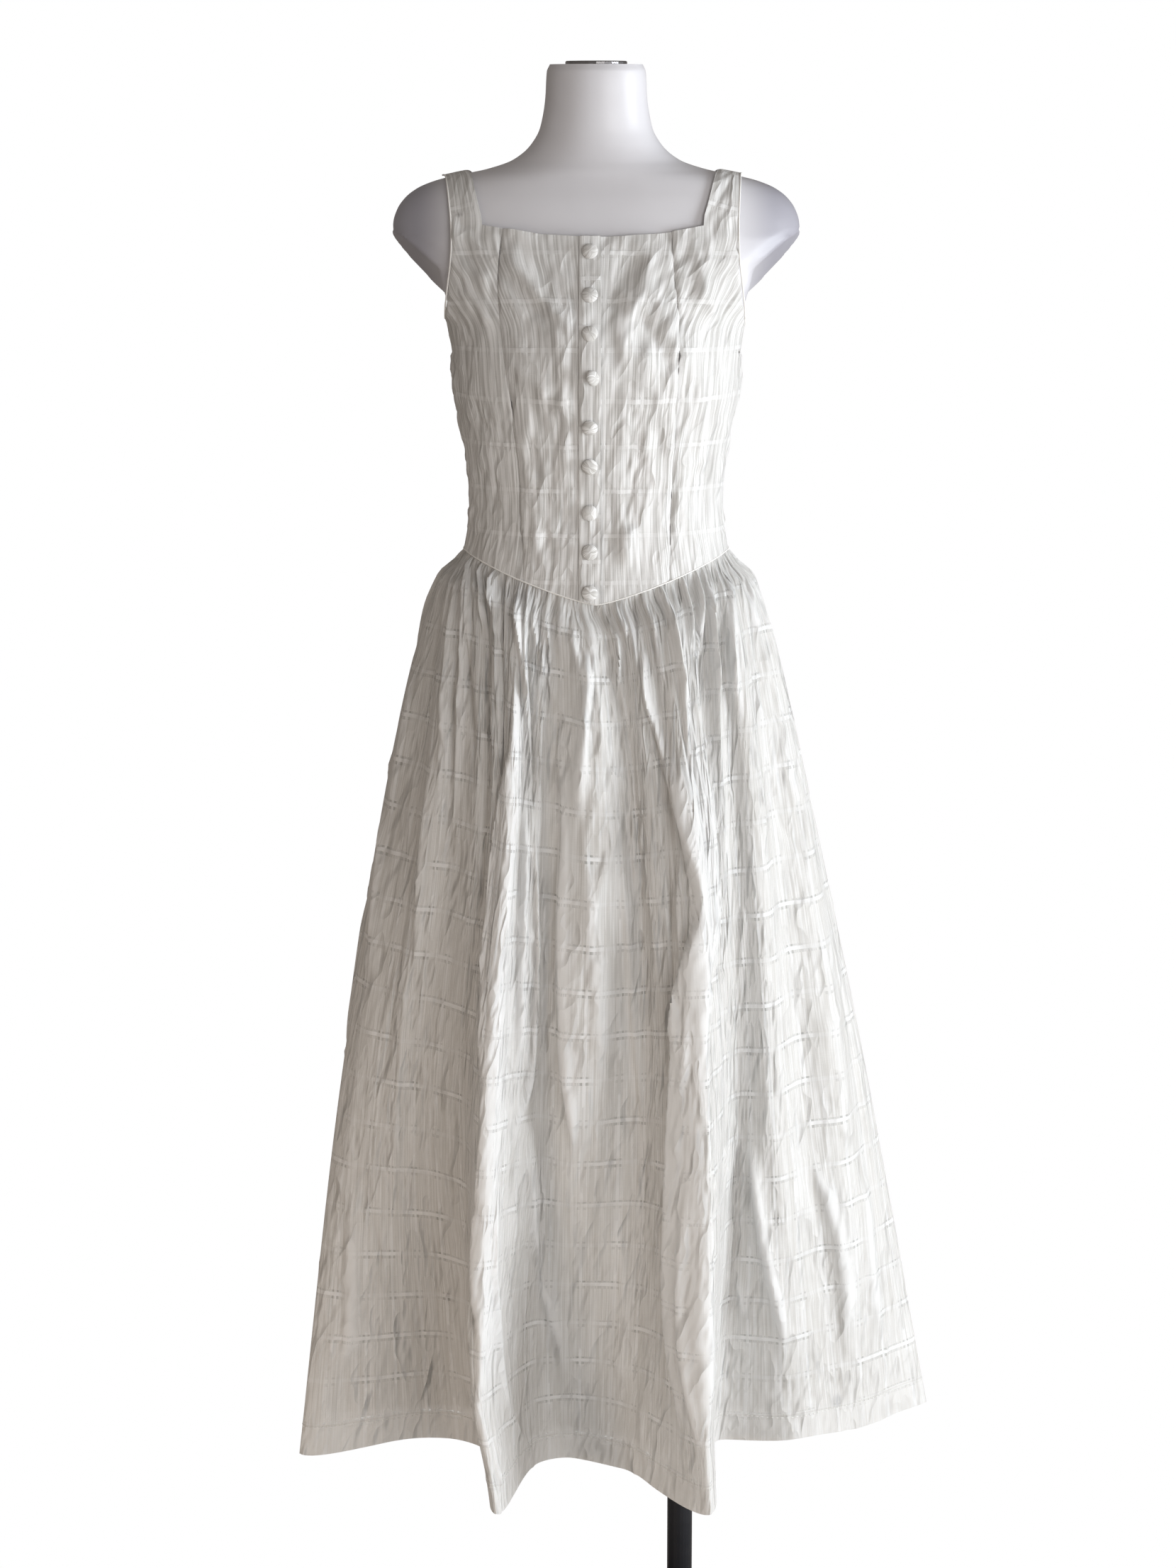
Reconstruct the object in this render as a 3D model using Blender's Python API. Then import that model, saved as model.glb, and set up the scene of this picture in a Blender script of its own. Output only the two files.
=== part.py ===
"""Sleeveless basque-waist dress with covered buttons, worn by a limbless dress form on a pole stand.

Metres, +Z up. The front faces -Y and the origin is the centre of the base's underside.
The form is a stack of level sections. Every bodice panel is a wall a few millimetres off it,
and the skirt and its lining are walls that follow the fold lines in FOLDS.
"""

import math
from collections import namedtuple

import bmesh
import bpy
from mathutils import Vector
from mathutils.bvhtree import BVHTree
from mathutils.geometry import intersect_line_line_2d

# Stand
BASE_RADIUS = 0.175
BASE_THICK = 0.010
BASE_EDGE = 0.003
POLE_RADIUS = 0.0130
POLE_X = 0.088
COLLAR_RADIUS = 0.024
COLLAR_HIGH = 0.030
STAND_SIDES = 32

# Dress form
FORM_FOOT = 0.860
NECK_TOP = 1.662
SECTION_POWER = 2.2
FORM_COLUMNS = 34
NECK_CAP_RADIUS = 0.030
NECK_CAP_THICK = 0.003
ARM_CUT_X = 0.196
ARM_CUT_TOP = 1.497
ARM_CUT_BACKWARD = 0.314
ARM_CUT_SLOPE = 0.971

# Dress
CLOTH = 0.0012
SKIRT_CLOTH = 0.0014
GAP = 0.0003
WAIST_SIDE = 1.190
WAIST_DROP = 0.043
WAIST_HALF = 0.120
WAIST_POWER = 1.25
NECK_FRONT = 1.498
NECK_BACK = 1.500
STRAP_FOOT = 1.515
SHOULDER_SEAM_Y = 0.004
FRONT_JOIN_X = -0.006
BAND_LEFT_X = -0.016
BAND_RIGHT_X = 0.004
BAND_THICK = 0.0010
SKIRT_HEM = 0.278
GATHERS_PER_PANEL = 26
DRAPES_PER_PANEL = 13
COLUMNS_PER_GATHER = 2

# Covered buttons
BUTTON_RADIUS = 0.0076
BUTTON_HIGH = 0.0055
BUTTON_SIDES = 12
BUTTON_X = -0.006
BUTTON_HEIGHTS = (1.483, 1.442, 1.407, 1.371, 1.325, 1.284, 1.237, 1.197, 1.158)
TURNED_BUTTON = 4
BUTTON_TURN = math.radians(48)

Section = namedtuple("Section", "height half_width front back")
FORM = (
    Section(0.860, 0.150, 0.098, 0.110),
    Section(0.910, 0.161, 0.104, 0.119),
    Section(0.970, 0.168, 0.108, 0.124),
    Section(1.040, 0.165, 0.108, 0.120),
    Section(1.110, 0.148, 0.102, 0.100),
    Section(1.170, 0.127, 0.092, 0.082),
    Section(1.235, 0.1165, 0.084, 0.072),
    Section(1.280, 0.1195, 0.088, 0.076),
    Section(1.320, 0.1260, 0.098, 0.084),
    Section(1.352, 0.1325, 0.111, 0.090),
    Section(1.385, 0.1350, 0.117, 0.093),
    Section(1.412, 0.1395, 0.111, 0.093),
    Section(1.436, 0.1560, 0.103, 0.092),
    Section(1.449, 0.1670, 0.098, 0.0905),
    Section(1.462, 0.1750, 0.093, 0.0885),
    Section(1.476, 0.1880, 0.0875, 0.0865),
    Section(1.488, 0.1950, 0.083, 0.084),
    Section(1.499, 0.1990, 0.079, 0.082),
    Section(1.512, 0.1980, 0.074, 0.079),
    Section(1.524, 0.1940, 0.070, 0.0765),
    Section(1.535, 0.1860, 0.066, 0.073),
    Section(1.544, 0.1740, 0.062, 0.069),
    Section(1.551, 0.1570, 0.059, 0.066),
    Section(1.556, 0.1370, 0.057, 0.0635),
    Section(1.562, 0.1070, 0.055, 0.061),
    Section(1.571, 0.0810, 0.0515, 0.058),
    Section(1.585, 0.0640, 0.048, 0.0545),
    Section(1.602, 0.0545, 0.046, 0.052),
    Section(1.630, 0.0495, 0.0455, 0.050),
    Section(1.655, 0.0480, 0.0450, 0.0485),
    Section(1.662, 0.0450, 0.0420, 0.0455),
)

# How far the cloth stands off the form, and the princess seams, seen from the front
Ease = namedtuple("Ease", "height off")
EASE = (
    Ease(1.140, 0.0080),
    Ease(1.235, 0.0080),
    Ease(1.385, 0.0075),
    Ease(1.450, 0.0065),
    Ease(1.515, 0.0038),
    Ease(1.540, 0.0026),
    Ease(1.560, 0.0022),
)
Princess = namedtuple("Princess", "height right left")
PRINCESS = (
    Princess(1.140, 0.068, 0.068),
    Princess(1.220, 0.069, 0.069),
    Princess(1.320, 0.076, 0.072),
    Princess(1.410, 0.088, 0.076),
    Princess(1.460, 0.093, 0.074),
    Princess(1.520, 0.088, 0.071),
)

# Each side of the bodice: which way it lies, and its armhole and strap as distances from the middle
Side = namedtuple("Side", "name way underarm_row strap_foot_in strap_foot_out strap_top_in strap_top_out")
SIDES = (
    Side("right", -1, 8, 0.108, 0.1385, 0.1215, 0.1490),
    Side("left", 1, 7, 0.101, 0.1355, 0.1165, 0.1410),
)
Armhole = namedtuple("Armhole", "share front back")
ARMHOLE = (
    Armhole(0.00, 0.1440, 0.1440),
    Armhole(0.18, 0.1405, 0.1385),
    Armhole(0.45, 0.1375, 0.1325),
    Armhole(0.75, 0.1360, 0.1325),
    Armhole(1.00, 0.1370, 0.1370),
)
ROW_SHARES = (0, 0.09, 0.18, 0.27, 0.36, 0.45, 0.54, 0.615, 0.70, 0.775, 0.85, 0.925, 1.0)
STRAP_ROWS = 6

# The skirt's fold lines, from the right side seam round the front, the left side seam and the back.
# Each is a crest or a hollow, with its place at the hip, at mid skirt and at the hem, and how far it leans
# sideways just above the hem.
Fold = namedtuple("Fold", "crest hip_x hip_y mid_x mid_y hem_x hem_y lean")
HIP_HEIGHT, MID_HEIGHT, LOW_HEIGHT = 1.020, 0.650, 0.420
FOLDS = (
    Fold(True, -0.196, -0.010, -0.258, -0.035, -0.301, -0.090, 0.000),
    Fold(False, -0.170, -0.072, -0.222, -0.088, -0.236, -0.077, 0.000),
    Fold(False, -0.134, -0.112, -0.166, -0.112, -0.152, -0.047, 0.000),
    Fold(False, -0.110, -0.132, -0.131, -0.146, -0.115, -0.082, 0.000),
    Fold(True, -0.084, -0.158, -0.107, -0.222, -0.094, -0.256, -0.018),
    Fold(False, -0.050, -0.146, -0.056, -0.168, -0.060, -0.130, -0.006),
    Fold(True, -0.016, -0.160, -0.022, -0.184, -0.024, -0.102, 0.000),
    Fold(False, 0.028, -0.150, 0.038, -0.166, 0.026, -0.136, 0.000),
    Fold(False, 0.052, -0.152, 0.068, -0.188, 0.062, -0.192, 0.000),
    Fold(True, 0.080, -0.158, 0.107, -0.222, 0.114, -0.254, -0.006),
    Fold(False, 0.117, -0.121, 0.137, -0.128, 0.124, -0.056, 0.000),
    Fold(True, 0.144, -0.112, 0.176, -0.132, 0.200, -0.060, 0.000),
    Fold(False, 0.163, -0.086, 0.207, -0.090, 0.248, -0.034, 0.000),
    Fold(True, 0.183, -0.062, 0.242, -0.074, 0.277, -0.014, 0.000),
    Fold(False, 0.191, -0.034, 0.262, -0.028, 0.306, 0.008, 0.000),
    Fold(True, 0.197, 0.006, 0.276, 0.022, 0.348, 0.056, 0.000),
    Fold(False, 0.172, 0.080, 0.222, 0.096, 0.248, 0.098, 0.000),
    Fold(True, 0.142, 0.128, 0.192, 0.186, 0.210, 0.228, 0.000),
    Fold(False, 0.100, 0.138, 0.122, 0.164, 0.132, 0.156, 0.000),
    Fold(True, 0.052, 0.166, 0.062, 0.222, 0.060, 0.262, 0.008),
    Fold(False, 0.000, 0.156, -0.002, 0.180, -0.006, 0.176, 0.000),
    Fold(True, -0.056, 0.166, -0.068, 0.220, -0.072, 0.258, -0.008),
    Fold(False, -0.102, 0.138, -0.126, 0.162, -0.136, 0.150, 0.000),
    Fold(True, -0.146, 0.124, -0.194, 0.182, -0.216, 0.220, 0.000),
    Fold(False, -0.178, 0.072, -0.226, 0.086, -0.254, 0.090, 0.000),
)
LEFT_SEAM_FOLD = 15
PUFF_POWER = 0.56
SKIRT_ROWS = (0.0, 0.014, 0.045, 0.10, 0.18, 0.30, 0.43, 0.57, 0.72, 0.86, 1.0)
LINING_SHARE = 0.965
LINING_ROWS = (0.0, 0.014, 0.045, 0.10, 0.18, 0.36, 0.57, 0.78, LINING_SHARE)
LINING_COLUMNS = 34
LINING_INSIDE = 0.0028
LINING_CLEAR = 0.0075
LINING_MARGIN = math.radians(2.6)


# Numbers
def mix(a, b, t):
    return a + (b - a) * t


def clamp(t):
    return max(0.0, min(1.0, t))


def smooth_step(t):
    t = clamp(t)
    return t * t * (3 - 2 * t)


def slope_at(xs, ys, i):
    """The slope of a smooth curve through the points that never overshoots them."""
    if i in (0, len(xs) - 1):
        j = max(i, 1)
        return (ys[j] - ys[j - 1]) / (xs[j] - xs[j - 1])
    before = (ys[i] - ys[i - 1]) / (xs[i] - xs[i - 1])
    after = (ys[i + 1] - ys[i]) / (xs[i + 1] - xs[i])
    if before * after <= 0:
        return 0.0
    return 2 * before * after / (before + after)


def read_table(rows, column, x, key="height"):
    """A column of a table at x, on a smooth curve through its rows."""
    xs = [getattr(row, key) for row in rows]
    ys = [getattr(row, column) for row in rows]
    x = max(xs[0], min(xs[-1], x))
    i = max(k for k in range(len(xs) - 1) if xs[k] <= x)
    step = xs[i + 1] - xs[i]
    t = (x - xs[i]) / step
    m0, m1 = slope_at(xs, ys, i) * step, slope_at(xs, ys, i + 1) * step
    return (
        ys[i] * (2 * t**3 - 3 * t**2 + 1)
        + m0 * (t**3 - 2 * t**2 + t)
        + ys[i + 1] * (3 * t**2 - 2 * t**3)
        + m1 * (t**3 - t**2)
    )


def soft_min(a, b, blend):
    """The smaller of two lengths, rounded off where they are within blend of each other."""
    h = clamp(0.5 + 0.5 * (b - a) / blend)
    return mix(b, a, h) - blend * h * (1 - h)


# The form's surface
def arm_limit(y, height):
    """How far out the form may reach: the plane of the arm cut, or the body's side below it."""
    plane = ARM_CUT_X + ARM_CUT_BACKWARD * y + ARM_CUT_SLOPE * (height - ARM_CUT_TOP)
    side = 0.1385 + 0.18 * (height - 1.396)
    return max(plane, side)


def form_point(angle, height):
    """A point of the form. Angle 0 is the wearer's left side (+X), and -90 degrees is the front."""
    wide = read_table(FORM, "half_width", height)
    deep = read_table(FORM, "front" if math.sin(angle) < 0 else "back", height)
    power = 2 / SECTION_POWER
    x = wide * abs(math.cos(angle)) ** power
    y = math.copysign(deep * abs(math.sin(angle)) ** power, math.sin(angle))
    if 1.385 < height < 1.510:
        sharp = smooth_step((height - 1.438) / 0.02)
        x = soft_min(x, arm_limit(y, height), mix(0.012, 0.0008, sharp))
    return Vector((math.copysign(x, math.cos(angle)), y, height))


def form_normal(angle, height):
    """The form's outward direction, from points close by."""
    step_a, step_h = 0.01, 0.0005
    across = form_point(angle + step_a, height) - form_point(angle - step_a, height)
    up = form_point(angle, height + step_h) - form_point(angle, height - step_h)
    return across.cross(up).normalized()


def angle_of(x, height, back=False):
    """The angle at which the form's section is this far from the middle."""
    wide = read_table(FORM, "half_width", height)
    turn = math.acos(clamp((abs(x) / wide)) ** (SECTION_POWER / 2))
    turn = math.pi - turn if x < 0 else turn
    return turn if back else -turn


def on_shoulder(x, turn, back):
    """The (angle, height) where the strap's line at x has turned this far up from its foot to the shoulder seam."""
    near, far = 0.0, 0.12
    for _ in range(40):
        middle = (near + far) / 2
        y = SHOULDER_SEAM_Y + middle * math.cos(turn) * (1 if back else -1)
        height = STRAP_FOOT + middle * math.sin(turn)
        wide = read_table(FORM, "half_width", height)
        deep = read_table(FORM, "back" if y > 0 else "front", height)
        inside = abs(x) < wide and deep * (1 - (abs(x) / wide) ** SECTION_POWER) ** (1 / SECTION_POWER) > abs(y)
        near, far = (middle, far) if inside else (near, middle)
    height = STRAP_FOOT + near * math.sin(turn)
    y = SHOULDER_SEAM_Y + near * math.cos(turn) * (1 if back else -1)
    return angle_of(x, height, y > 0), height


def cloth_pair(angle, height, out=0.0, thick=CLOTH):
    """(outer, inner) points of a wall that lies its ease off the form, moved out by some more."""
    place, normal = form_point(angle, height), form_normal(angle, height)
    inner = place + normal * (read_table(EASE, "off", height) + out)
    return inner + normal * thick, inner


def front_waist(x):
    """The height of the pointed waist seam at the front."""
    return WAIST_SIDE - WAIST_DROP * (1 - min(1.0, abs(x) / WAIST_HALF) ** WAIST_POWER)


def front_neck(x):
    return NECK_FRONT + 0.008 * (x / 0.09) ** 2


# Making objects
def make_material(name, colour, roughness, metallic=0.0):
    material = bpy.data.materials.new(name)
    material.use_nodes = True
    shader = material.node_tree.nodes["Principled BSDF"]
    shader.inputs["Base Color"].default_value = (*colour, 1.0)
    shader.inputs["Roughness"].default_value = roughness
    shader.inputs["Metallic"].default_value = metallic
    return material


def add_object(name, points, faces, material, smooth_angle=None):
    mesh = bpy.data.meshes.new(name)
    mesh.from_pydata([tuple(p) for p in points], [], faces)
    shape = bmesh.new()
    shape.from_mesh(mesh)
    bmesh.ops.recalc_face_normals(shape, faces=shape.faces)
    shape.to_mesh(mesh)
    shape.free()
    if smooth_angle is not None:
        mesh.shade_smooth()
        mesh.set_sharp_from_angle(angle=smooth_angle)
    mesh.materials.append(material)
    obj = bpy.data.objects.new(name, mesh)
    bpy.context.scene.collection.objects.link(obj)
    return obj


def add_wall(name, pairs, cells, material):
    """A closed wall. pairs maps a key to its (outer, inner) points, and each cell is four keys."""
    keys = sorted(pairs)
    outside = {key: 2 * i for i, key in enumerate(keys)}
    points = [p for key in keys for p in pairs[key]]
    faces, edges = [], {}
    for a, b, c, d in cells:
        for tri in ((a, b, c), (a, c, d)):
            faces.append([outside[k] for k in tri])
            faces.append([outside[k] + 1 for k in reversed(tri)])
        for edge in ((a, b), (b, c), (c, d), (d, a)):
            if (edge[1], edge[0]) in edges:
                del edges[edge[1], edge[0]]
            else:
                edges[edge] = True
    for a, b in edges:
        faces.append([outside[b], outside[a], outside[a] + 1])
        faces.append([outside[b], outside[a] + 1, outside[b] + 1])
    return add_object(name, points, faces, material, smooth_angle=math.radians(50))


def grid_cells(rows, columns, first_column=0, first_row=0):
    return [
        ((i, j), (i, j + 1), (i + 1, j + 1), (i + 1, j))
        for i in range(first_row, first_row + rows)
        for j in range(first_column, first_column + columns)
    ]


def add_turned(name, profile, place, material, sides, up=Vector((0, 0, 1))):
    """A solid of revolution. The profile is (radius, height) pairs from the axis out, up and back to the axis."""
    points, faces = [], []
    rings = [p for p in profile if p[0] > 0]
    for radius, height in rings:
        for k in range(sides):
            turn = 2 * math.pi * k / sides
            points.append(Vector((radius * math.cos(turn), radius * math.sin(turn), height)))
    for i in range(len(rings) - 1):
        for k in range(sides):
            n = (k + 1) % sides
            faces.append([i * sides + k, i * sides + n, (i + 1) * sides + n, (i + 1) * sides + k])
    for height, ring in ((profile[0][1], 0), (profile[-1][1], len(rings) - 1)):
        points.append(Vector((0, 0, height)))
        for k in range(sides):
            faces.append([len(points) - 1, ring * sides + k, ring * sides + (k + 1) % sides])
    obj = add_object(name, points, faces, material, smooth_angle=math.radians(40))
    obj.location = place
    obj.rotation_mode = "QUATERNION"
    obj.rotation_quaternion = Vector((0, 0, 1)).rotation_difference(up)
    return obj


# Stand
def add_stand(steel):
    profile = (
        (0, 0),
        (BASE_RADIUS - BASE_EDGE, 0),
        (BASE_RADIUS, BASE_EDGE),
        (BASE_RADIUS, BASE_THICK - BASE_EDGE),
        (BASE_RADIUS - BASE_EDGE, BASE_THICK),
        (0, BASE_THICK),
    )
    add_turned("stand_base", profile, Vector((0, 0, 0)), steel, STAND_SIDES)
    pole_foot = BASE_THICK + GAP
    pole_top = FORM_FOOT - GAP
    pole = ((0, 0), (POLE_RADIUS, 0), (POLE_RADIUS, pole_top - pole_foot), (0, pole_top - pole_foot))
    add_turned("stand_pole", pole, Vector((POLE_X, 0, pole_foot)), steel, 24)
    for name, foot in (("stand_collar_low", pole_foot), ("stand_collar_high", FORM_FOOT - GAP - COLLAR_HIGH)):
        add_collar(name, foot, steel)


def add_collar(name, foot, steel):
    """A ring round the pole, with a hole a little wider than it."""
    sides = 24
    corners = (
        (POLE_RADIUS + 1.2 * GAP, 0),
        (COLLAR_RADIUS, 0),
        (COLLAR_RADIUS, COLLAR_HIGH - 0.002),
        (COLLAR_RADIUS - 0.002, COLLAR_HIGH),
        (POLE_RADIUS + 1.2 * GAP, COLLAR_HIGH),
    )
    points = [
        Vector((r * math.cos(2 * math.pi * k / sides), r * math.sin(2 * math.pi * k / sides), h))
        for r, h in corners
        for k in range(sides)
    ]
    faces = []
    for i in range(len(corners)):
        j = (i + 1) % len(corners)
        for k in range(sides):
            n = (k + 1) % sides
            faces.append([i * sides + k, i * sides + n, j * sides + n, j * sides + k])
    obj = add_object(name, points, faces, steel, smooth_angle=math.radians(40))
    obj.location = Vector((POLE_X, 0, foot))


# Dress form
def add_form(plastic):
    angles = [2 * math.pi * k / FORM_COLUMNS for k in range(FORM_COLUMNS)]
    points = [form_point(angle, section.height) for section in FORM for angle in angles]
    faces = []
    for i in range(len(FORM) - 1):
        for k in range(FORM_COLUMNS):
            n = (k + 1) % FORM_COLUMNS
            a, b = i * FORM_COLUMNS, (i + 1) * FORM_COLUMNS
            if math.cos(angles[k] + math.pi / FORM_COLUMNS) > 0:
                faces += [[a + k, a + n, b + k], [a + n, b + n, b + k]]
            else:
                faces += [[a + k, a + n, b + n], [a + k, b + n, b + k]]
    faces.append(list(range(FORM_COLUMNS)))
    faces.append([(len(FORM) - 1) * FORM_COLUMNS + k for k in range(FORM_COLUMNS)])
    add_object("dress_form", points, faces, plastic, smooth_angle=math.radians(35))


# Bodice
def side_height(row):
    return mix(WAIST_SIDE, STRAP_FOOT, ROW_SHARES[row])


def princess_x(side, height):
    return side.way * read_table(PRINCESS, side.name, height)


def princess_height(side, share):
    """The height of a row at the princess seam, which runs from the waist seam to the neckline."""
    foot = front_waist(princess_x(side, WAIST_SIDE - 0.02))
    return mix(foot, front_neck(princess_x(side, NECK_FRONT)), share)


def front_row_height(x, share):
    return mix(front_waist(x), front_neck(x), share)


def add_front_panel(side, columns, cotton):
    """A centre front panel, from the join under the button band to the princess seam."""
    pairs = {}
    for i, share in enumerate(ROW_SHARES):
        seam_height = princess_height(side, share)
        join = FRONT_JOIN_X + side.way * GAP / 2
        seam = princess_x(side, seam_height) - side.way * GAP / 2
        for j in range(columns + 1):
            x = mix(join, seam, j / columns)
            height = mix(front_row_height(join, share), seam_height, j / columns)
            if j < columns:
                height = front_row_height(x, share)
            pairs[i, j] = cloth_pair(angle_of(x, height), height)
    add_wall("bodice_front_" + side.name, pairs, grid_cells(len(ROW_SHARES) - 1, columns), cotton)


def armhole_angle(side, row, back):
    """Where a row ends: on the side seam, or on the armhole's edge above it."""
    under, top = side_height(side.underarm_row), STRAP_FOOT
    share = (side_height(row) - under) / (top - under)
    if share <= 0:
        return 0.0
    x = read_table(ARMHOLE, "back" if back else "front", share, key="share")
    x += (side.strap_foot_out - ARMHOLE[-1].front) * share
    return abs(angle_of(x, side_height(row), back))


def add_strap(side, pairs, first, count, back):
    """The strap's rows of points, which go on from the top row of its panel."""
    for r in range(1, STRAP_ROWS + 1):
        rise = r / STRAP_ROWS
        x_in = mix(side.strap_foot_in, side.strap_top_in, rise)
        x_out = mix(side.strap_foot_out, side.strap_top_out, rise)
        for j in range(count + 1):
            x = side.way * mix(x_in, x_out, j / count)
            angle, height = on_shoulder(x, rise * math.pi / 2, back)
            outer, inner = cloth_pair(angle, height)
            if r == STRAP_ROWS:
                outer.y = inner.y = SHOULDER_SEAM_Y + (0.6 if back else -0.6) * GAP
            pairs[len(ROW_SHARES) - 1 + r, first + j] = (outer, inner)
    return grid_cells(STRAP_ROWS, count, first, len(ROW_SHARES) - 1)


def add_side_front(side, cotton):
    """A side front panel and its strap, from the princess seam to the side seam and armhole."""
    neck, strap = 2, 4
    columns = neck + strap
    pairs = {}
    for i, share in enumerate(ROW_SHARES):
        seam_height = princess_height(side, share)
        seam_x = princess_x(side, seam_height) + side.way * GAP / 2
        inner = abs(angle_of(abs(seam_x), seam_height))
        outer = armhole_angle(side, i, False)
        edge = (GAP / 2) / WAIST_HALF if outer == 0 else 0.0
        foot_angle = abs(angle_of(side.strap_foot_in, STRAP_FOOT))
        bend = (inner - foot_angle) / (inner - outer) if share == 1 else neck / columns
        for j in range(columns + 1):
            part = j / neck * bend if j <= neck else mix(bend, 1, (j - neck) / strap)
            even = mix(j / columns, part, share**3)
            turn = mix(inner, outer + edge, even)
            angle = -turn if side.way > 0 else -(math.pi - turn)
            foot = front_waist(form_point(angle, WAIST_SIDE).x)
            foot = front_waist(form_point(angle, foot).x)
            top = mix(front_neck(seam_x), STRAP_FOOT, even)
            height = mix(foot, top, share) if j else seam_height
            pairs[i, j] = cloth_pair(angle, height)
    cells = grid_cells(len(ROW_SHARES) - 1, columns)
    cells += add_strap(side, pairs, neck, strap, False)
    add_wall("bodice_side_front_" + side.name, pairs, cells, cotton)


def add_back_panel(side, cotton):
    """Half the back with its strap, from the centre back to the side seam and armhole."""
    neck, strap = 4, 3
    columns = neck + strap
    pairs = {}
    for i, share in enumerate(ROW_SHARES):
        centre_height = mix(WAIST_SIDE, NECK_BACK, share)
        inner = abs(angle_of(GAP / 2, centre_height, True))
        outer = armhole_angle(side, i, True)
        edge = (GAP / 2) / WAIST_HALF if outer == 0 else 0.0
        foot_angle = abs(angle_of(side.strap_foot_in, STRAP_FOOT, True))
        bend = (inner - foot_angle) / (inner - outer)
        for j in range(columns + 1):
            part = j / neck * bend if j <= neck else mix(bend, 1, (j - neck) / strap)
            even = mix(j / columns, part, share**3)
            turn = mix(inner, outer + edge, even)
            height = mix(centre_height, side_height(i), even**2)
            angle = turn if side.way > 0 else math.pi - turn
            pairs[i, j] = cloth_pair(angle, height)
    cells = grid_cells(len(ROW_SHARES) - 1, columns)
    cells += add_strap(side, pairs, neck, strap, True)
    add_wall("bodice_back_" + side.name, pairs, cells, cotton)


def add_button_band(cotton):
    """The strip that the buttons sit on, over the join of the two front panels."""
    pairs = {}
    for i, share in enumerate(ROW_SHARES):
        for j, x in enumerate((BAND_LEFT_X, FRONT_JOIN_X, BAND_RIGHT_X)):
            height = front_row_height(x, share)
            pairs[i, j] = cloth_pair(angle_of(x, height), height, CLOTH + 1.2 * GAP, BAND_THICK)
    return add_wall("button_band", pairs, grid_cells(len(ROW_SHARES) - 1, 2), cotton)


def add_buttons(band, covered):
    """Nine covered buttons, domed, flat behind, seated on the band. One hangs turned on its shank."""
    tree = BVHTree.FromPolygons([v.co for v in band.data.vertices], [p.vertices for p in band.data.polygons])
    dome = [(BUTTON_RADIUS * math.cos(a), BUTTON_HIGH * (0.28 + 0.72 * math.sin(a)))
            for a in (0, math.radians(28), math.radians(58))]
    profile = [(0, 0), (BUTTON_RADIUS * 0.90, 0), *dome, (0, BUTTON_HIGH)]
    around = [2 * math.pi * k / 24 for k in range(24)]
    high = 0.02
    for number, height in enumerate(BUTTON_HEIGHTS, 1):
        outer, inner = cloth_pair(angle_of(BUTTON_X, height), height, CLOTH + 1.2 * GAP, BAND_THICK)
        outward = (outer - inner).normalized()
        up = outward
        if number == TURNED_BUTTON:
            side = Vector((0.9, 0, 0.42)).normalized()
            up = (up * math.cos(BUTTON_TURN) + side * math.sin(BUTTON_TURN)).normalized()
            outer = outer + Vector((0.0015, 0, 0))
        turn = Vector((0, 0, 1)).rotation_difference(up)
        room = high
        for radius, level in profile:
            for a in around:
                point = outer + outward * high + turn @ Vector((radius * math.cos(a), radius * math.sin(a), level))
                room = min(room, tree.ray_cast(point, -outward, 0.1)[3] or high)
        place = outer + outward * (high - room + 1.2 * GAP)
        add_turned("button_%d" % number, profile, place, covered, BUTTON_SIDES, up)


# Skirt
def fold_shares():
    """Each fold line's share of the way round the cloth, from the length of the hem between them."""
    lengths = [0.0]
    for a, b in zip(FOLDS, FOLDS[1:] + FOLDS[:1]):
        lengths.append(lengths[-1] + math.hypot(b.hem_x - a.hem_x, b.hem_y - a.hem_y))
    return [length / lengths[-1] for length in lengths[:-1]]


def waist_angle(round_share, seam_share):
    """The form's angle at a share of the way round: the front panel first, and then the back."""
    if round_share <= seam_share:
        return math.pi * (1 + round_share / seam_share) - 2 * math.pi
    return math.pi * (round_share - seam_share) / (1 - seam_share)


def waist_point(angle, inside=0.0):
    """A point of the waist seam, in the middle of the cloth."""
    height = WAIST_SIDE
    if math.sin(angle) < 0:
        for _ in range(3):
            height = front_waist(form_point(angle, height).x)
    outer, inner = cloth_pair(angle, height)
    place = (outer + inner) / 2
    flat = Vector((outer.x - inner.x, outer.y - inner.y, 0)).normalized()
    return Vector((place.x, place.y, min(outer.z, inner.z) - 2.2 * GAP)) - flat * inside


def curve_through(points, shares, at):
    """A point on the closed smooth curve through points that lie at these shares of the way round."""
    count = len(points)
    at = at % 1.0
    i = max(k for k in range(count) if shares[k] <= at)

    def place(k):
        return points[k % count]

    def share(k):
        return shares[k % count] + k // count

    step = share(i + 1) - share(i)
    t = (at - share(i)) / step
    m0 = (place(i + 1) - place(i - 1)) * (step / (share(i + 1) - share(i - 1)))
    m1 = (place(i + 2) - place(i)) * (step / (share(i + 2) - share(i)))
    return (
        place(i) * (2 * t**3 - 3 * t**2 + 1)
        + m0 * (t**3 - 2 * t**2 + t)
        + place(i + 1) * (3 * t**2 - 2 * t**3)
        + m1 * (t**3 - t**2)
    )


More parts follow.
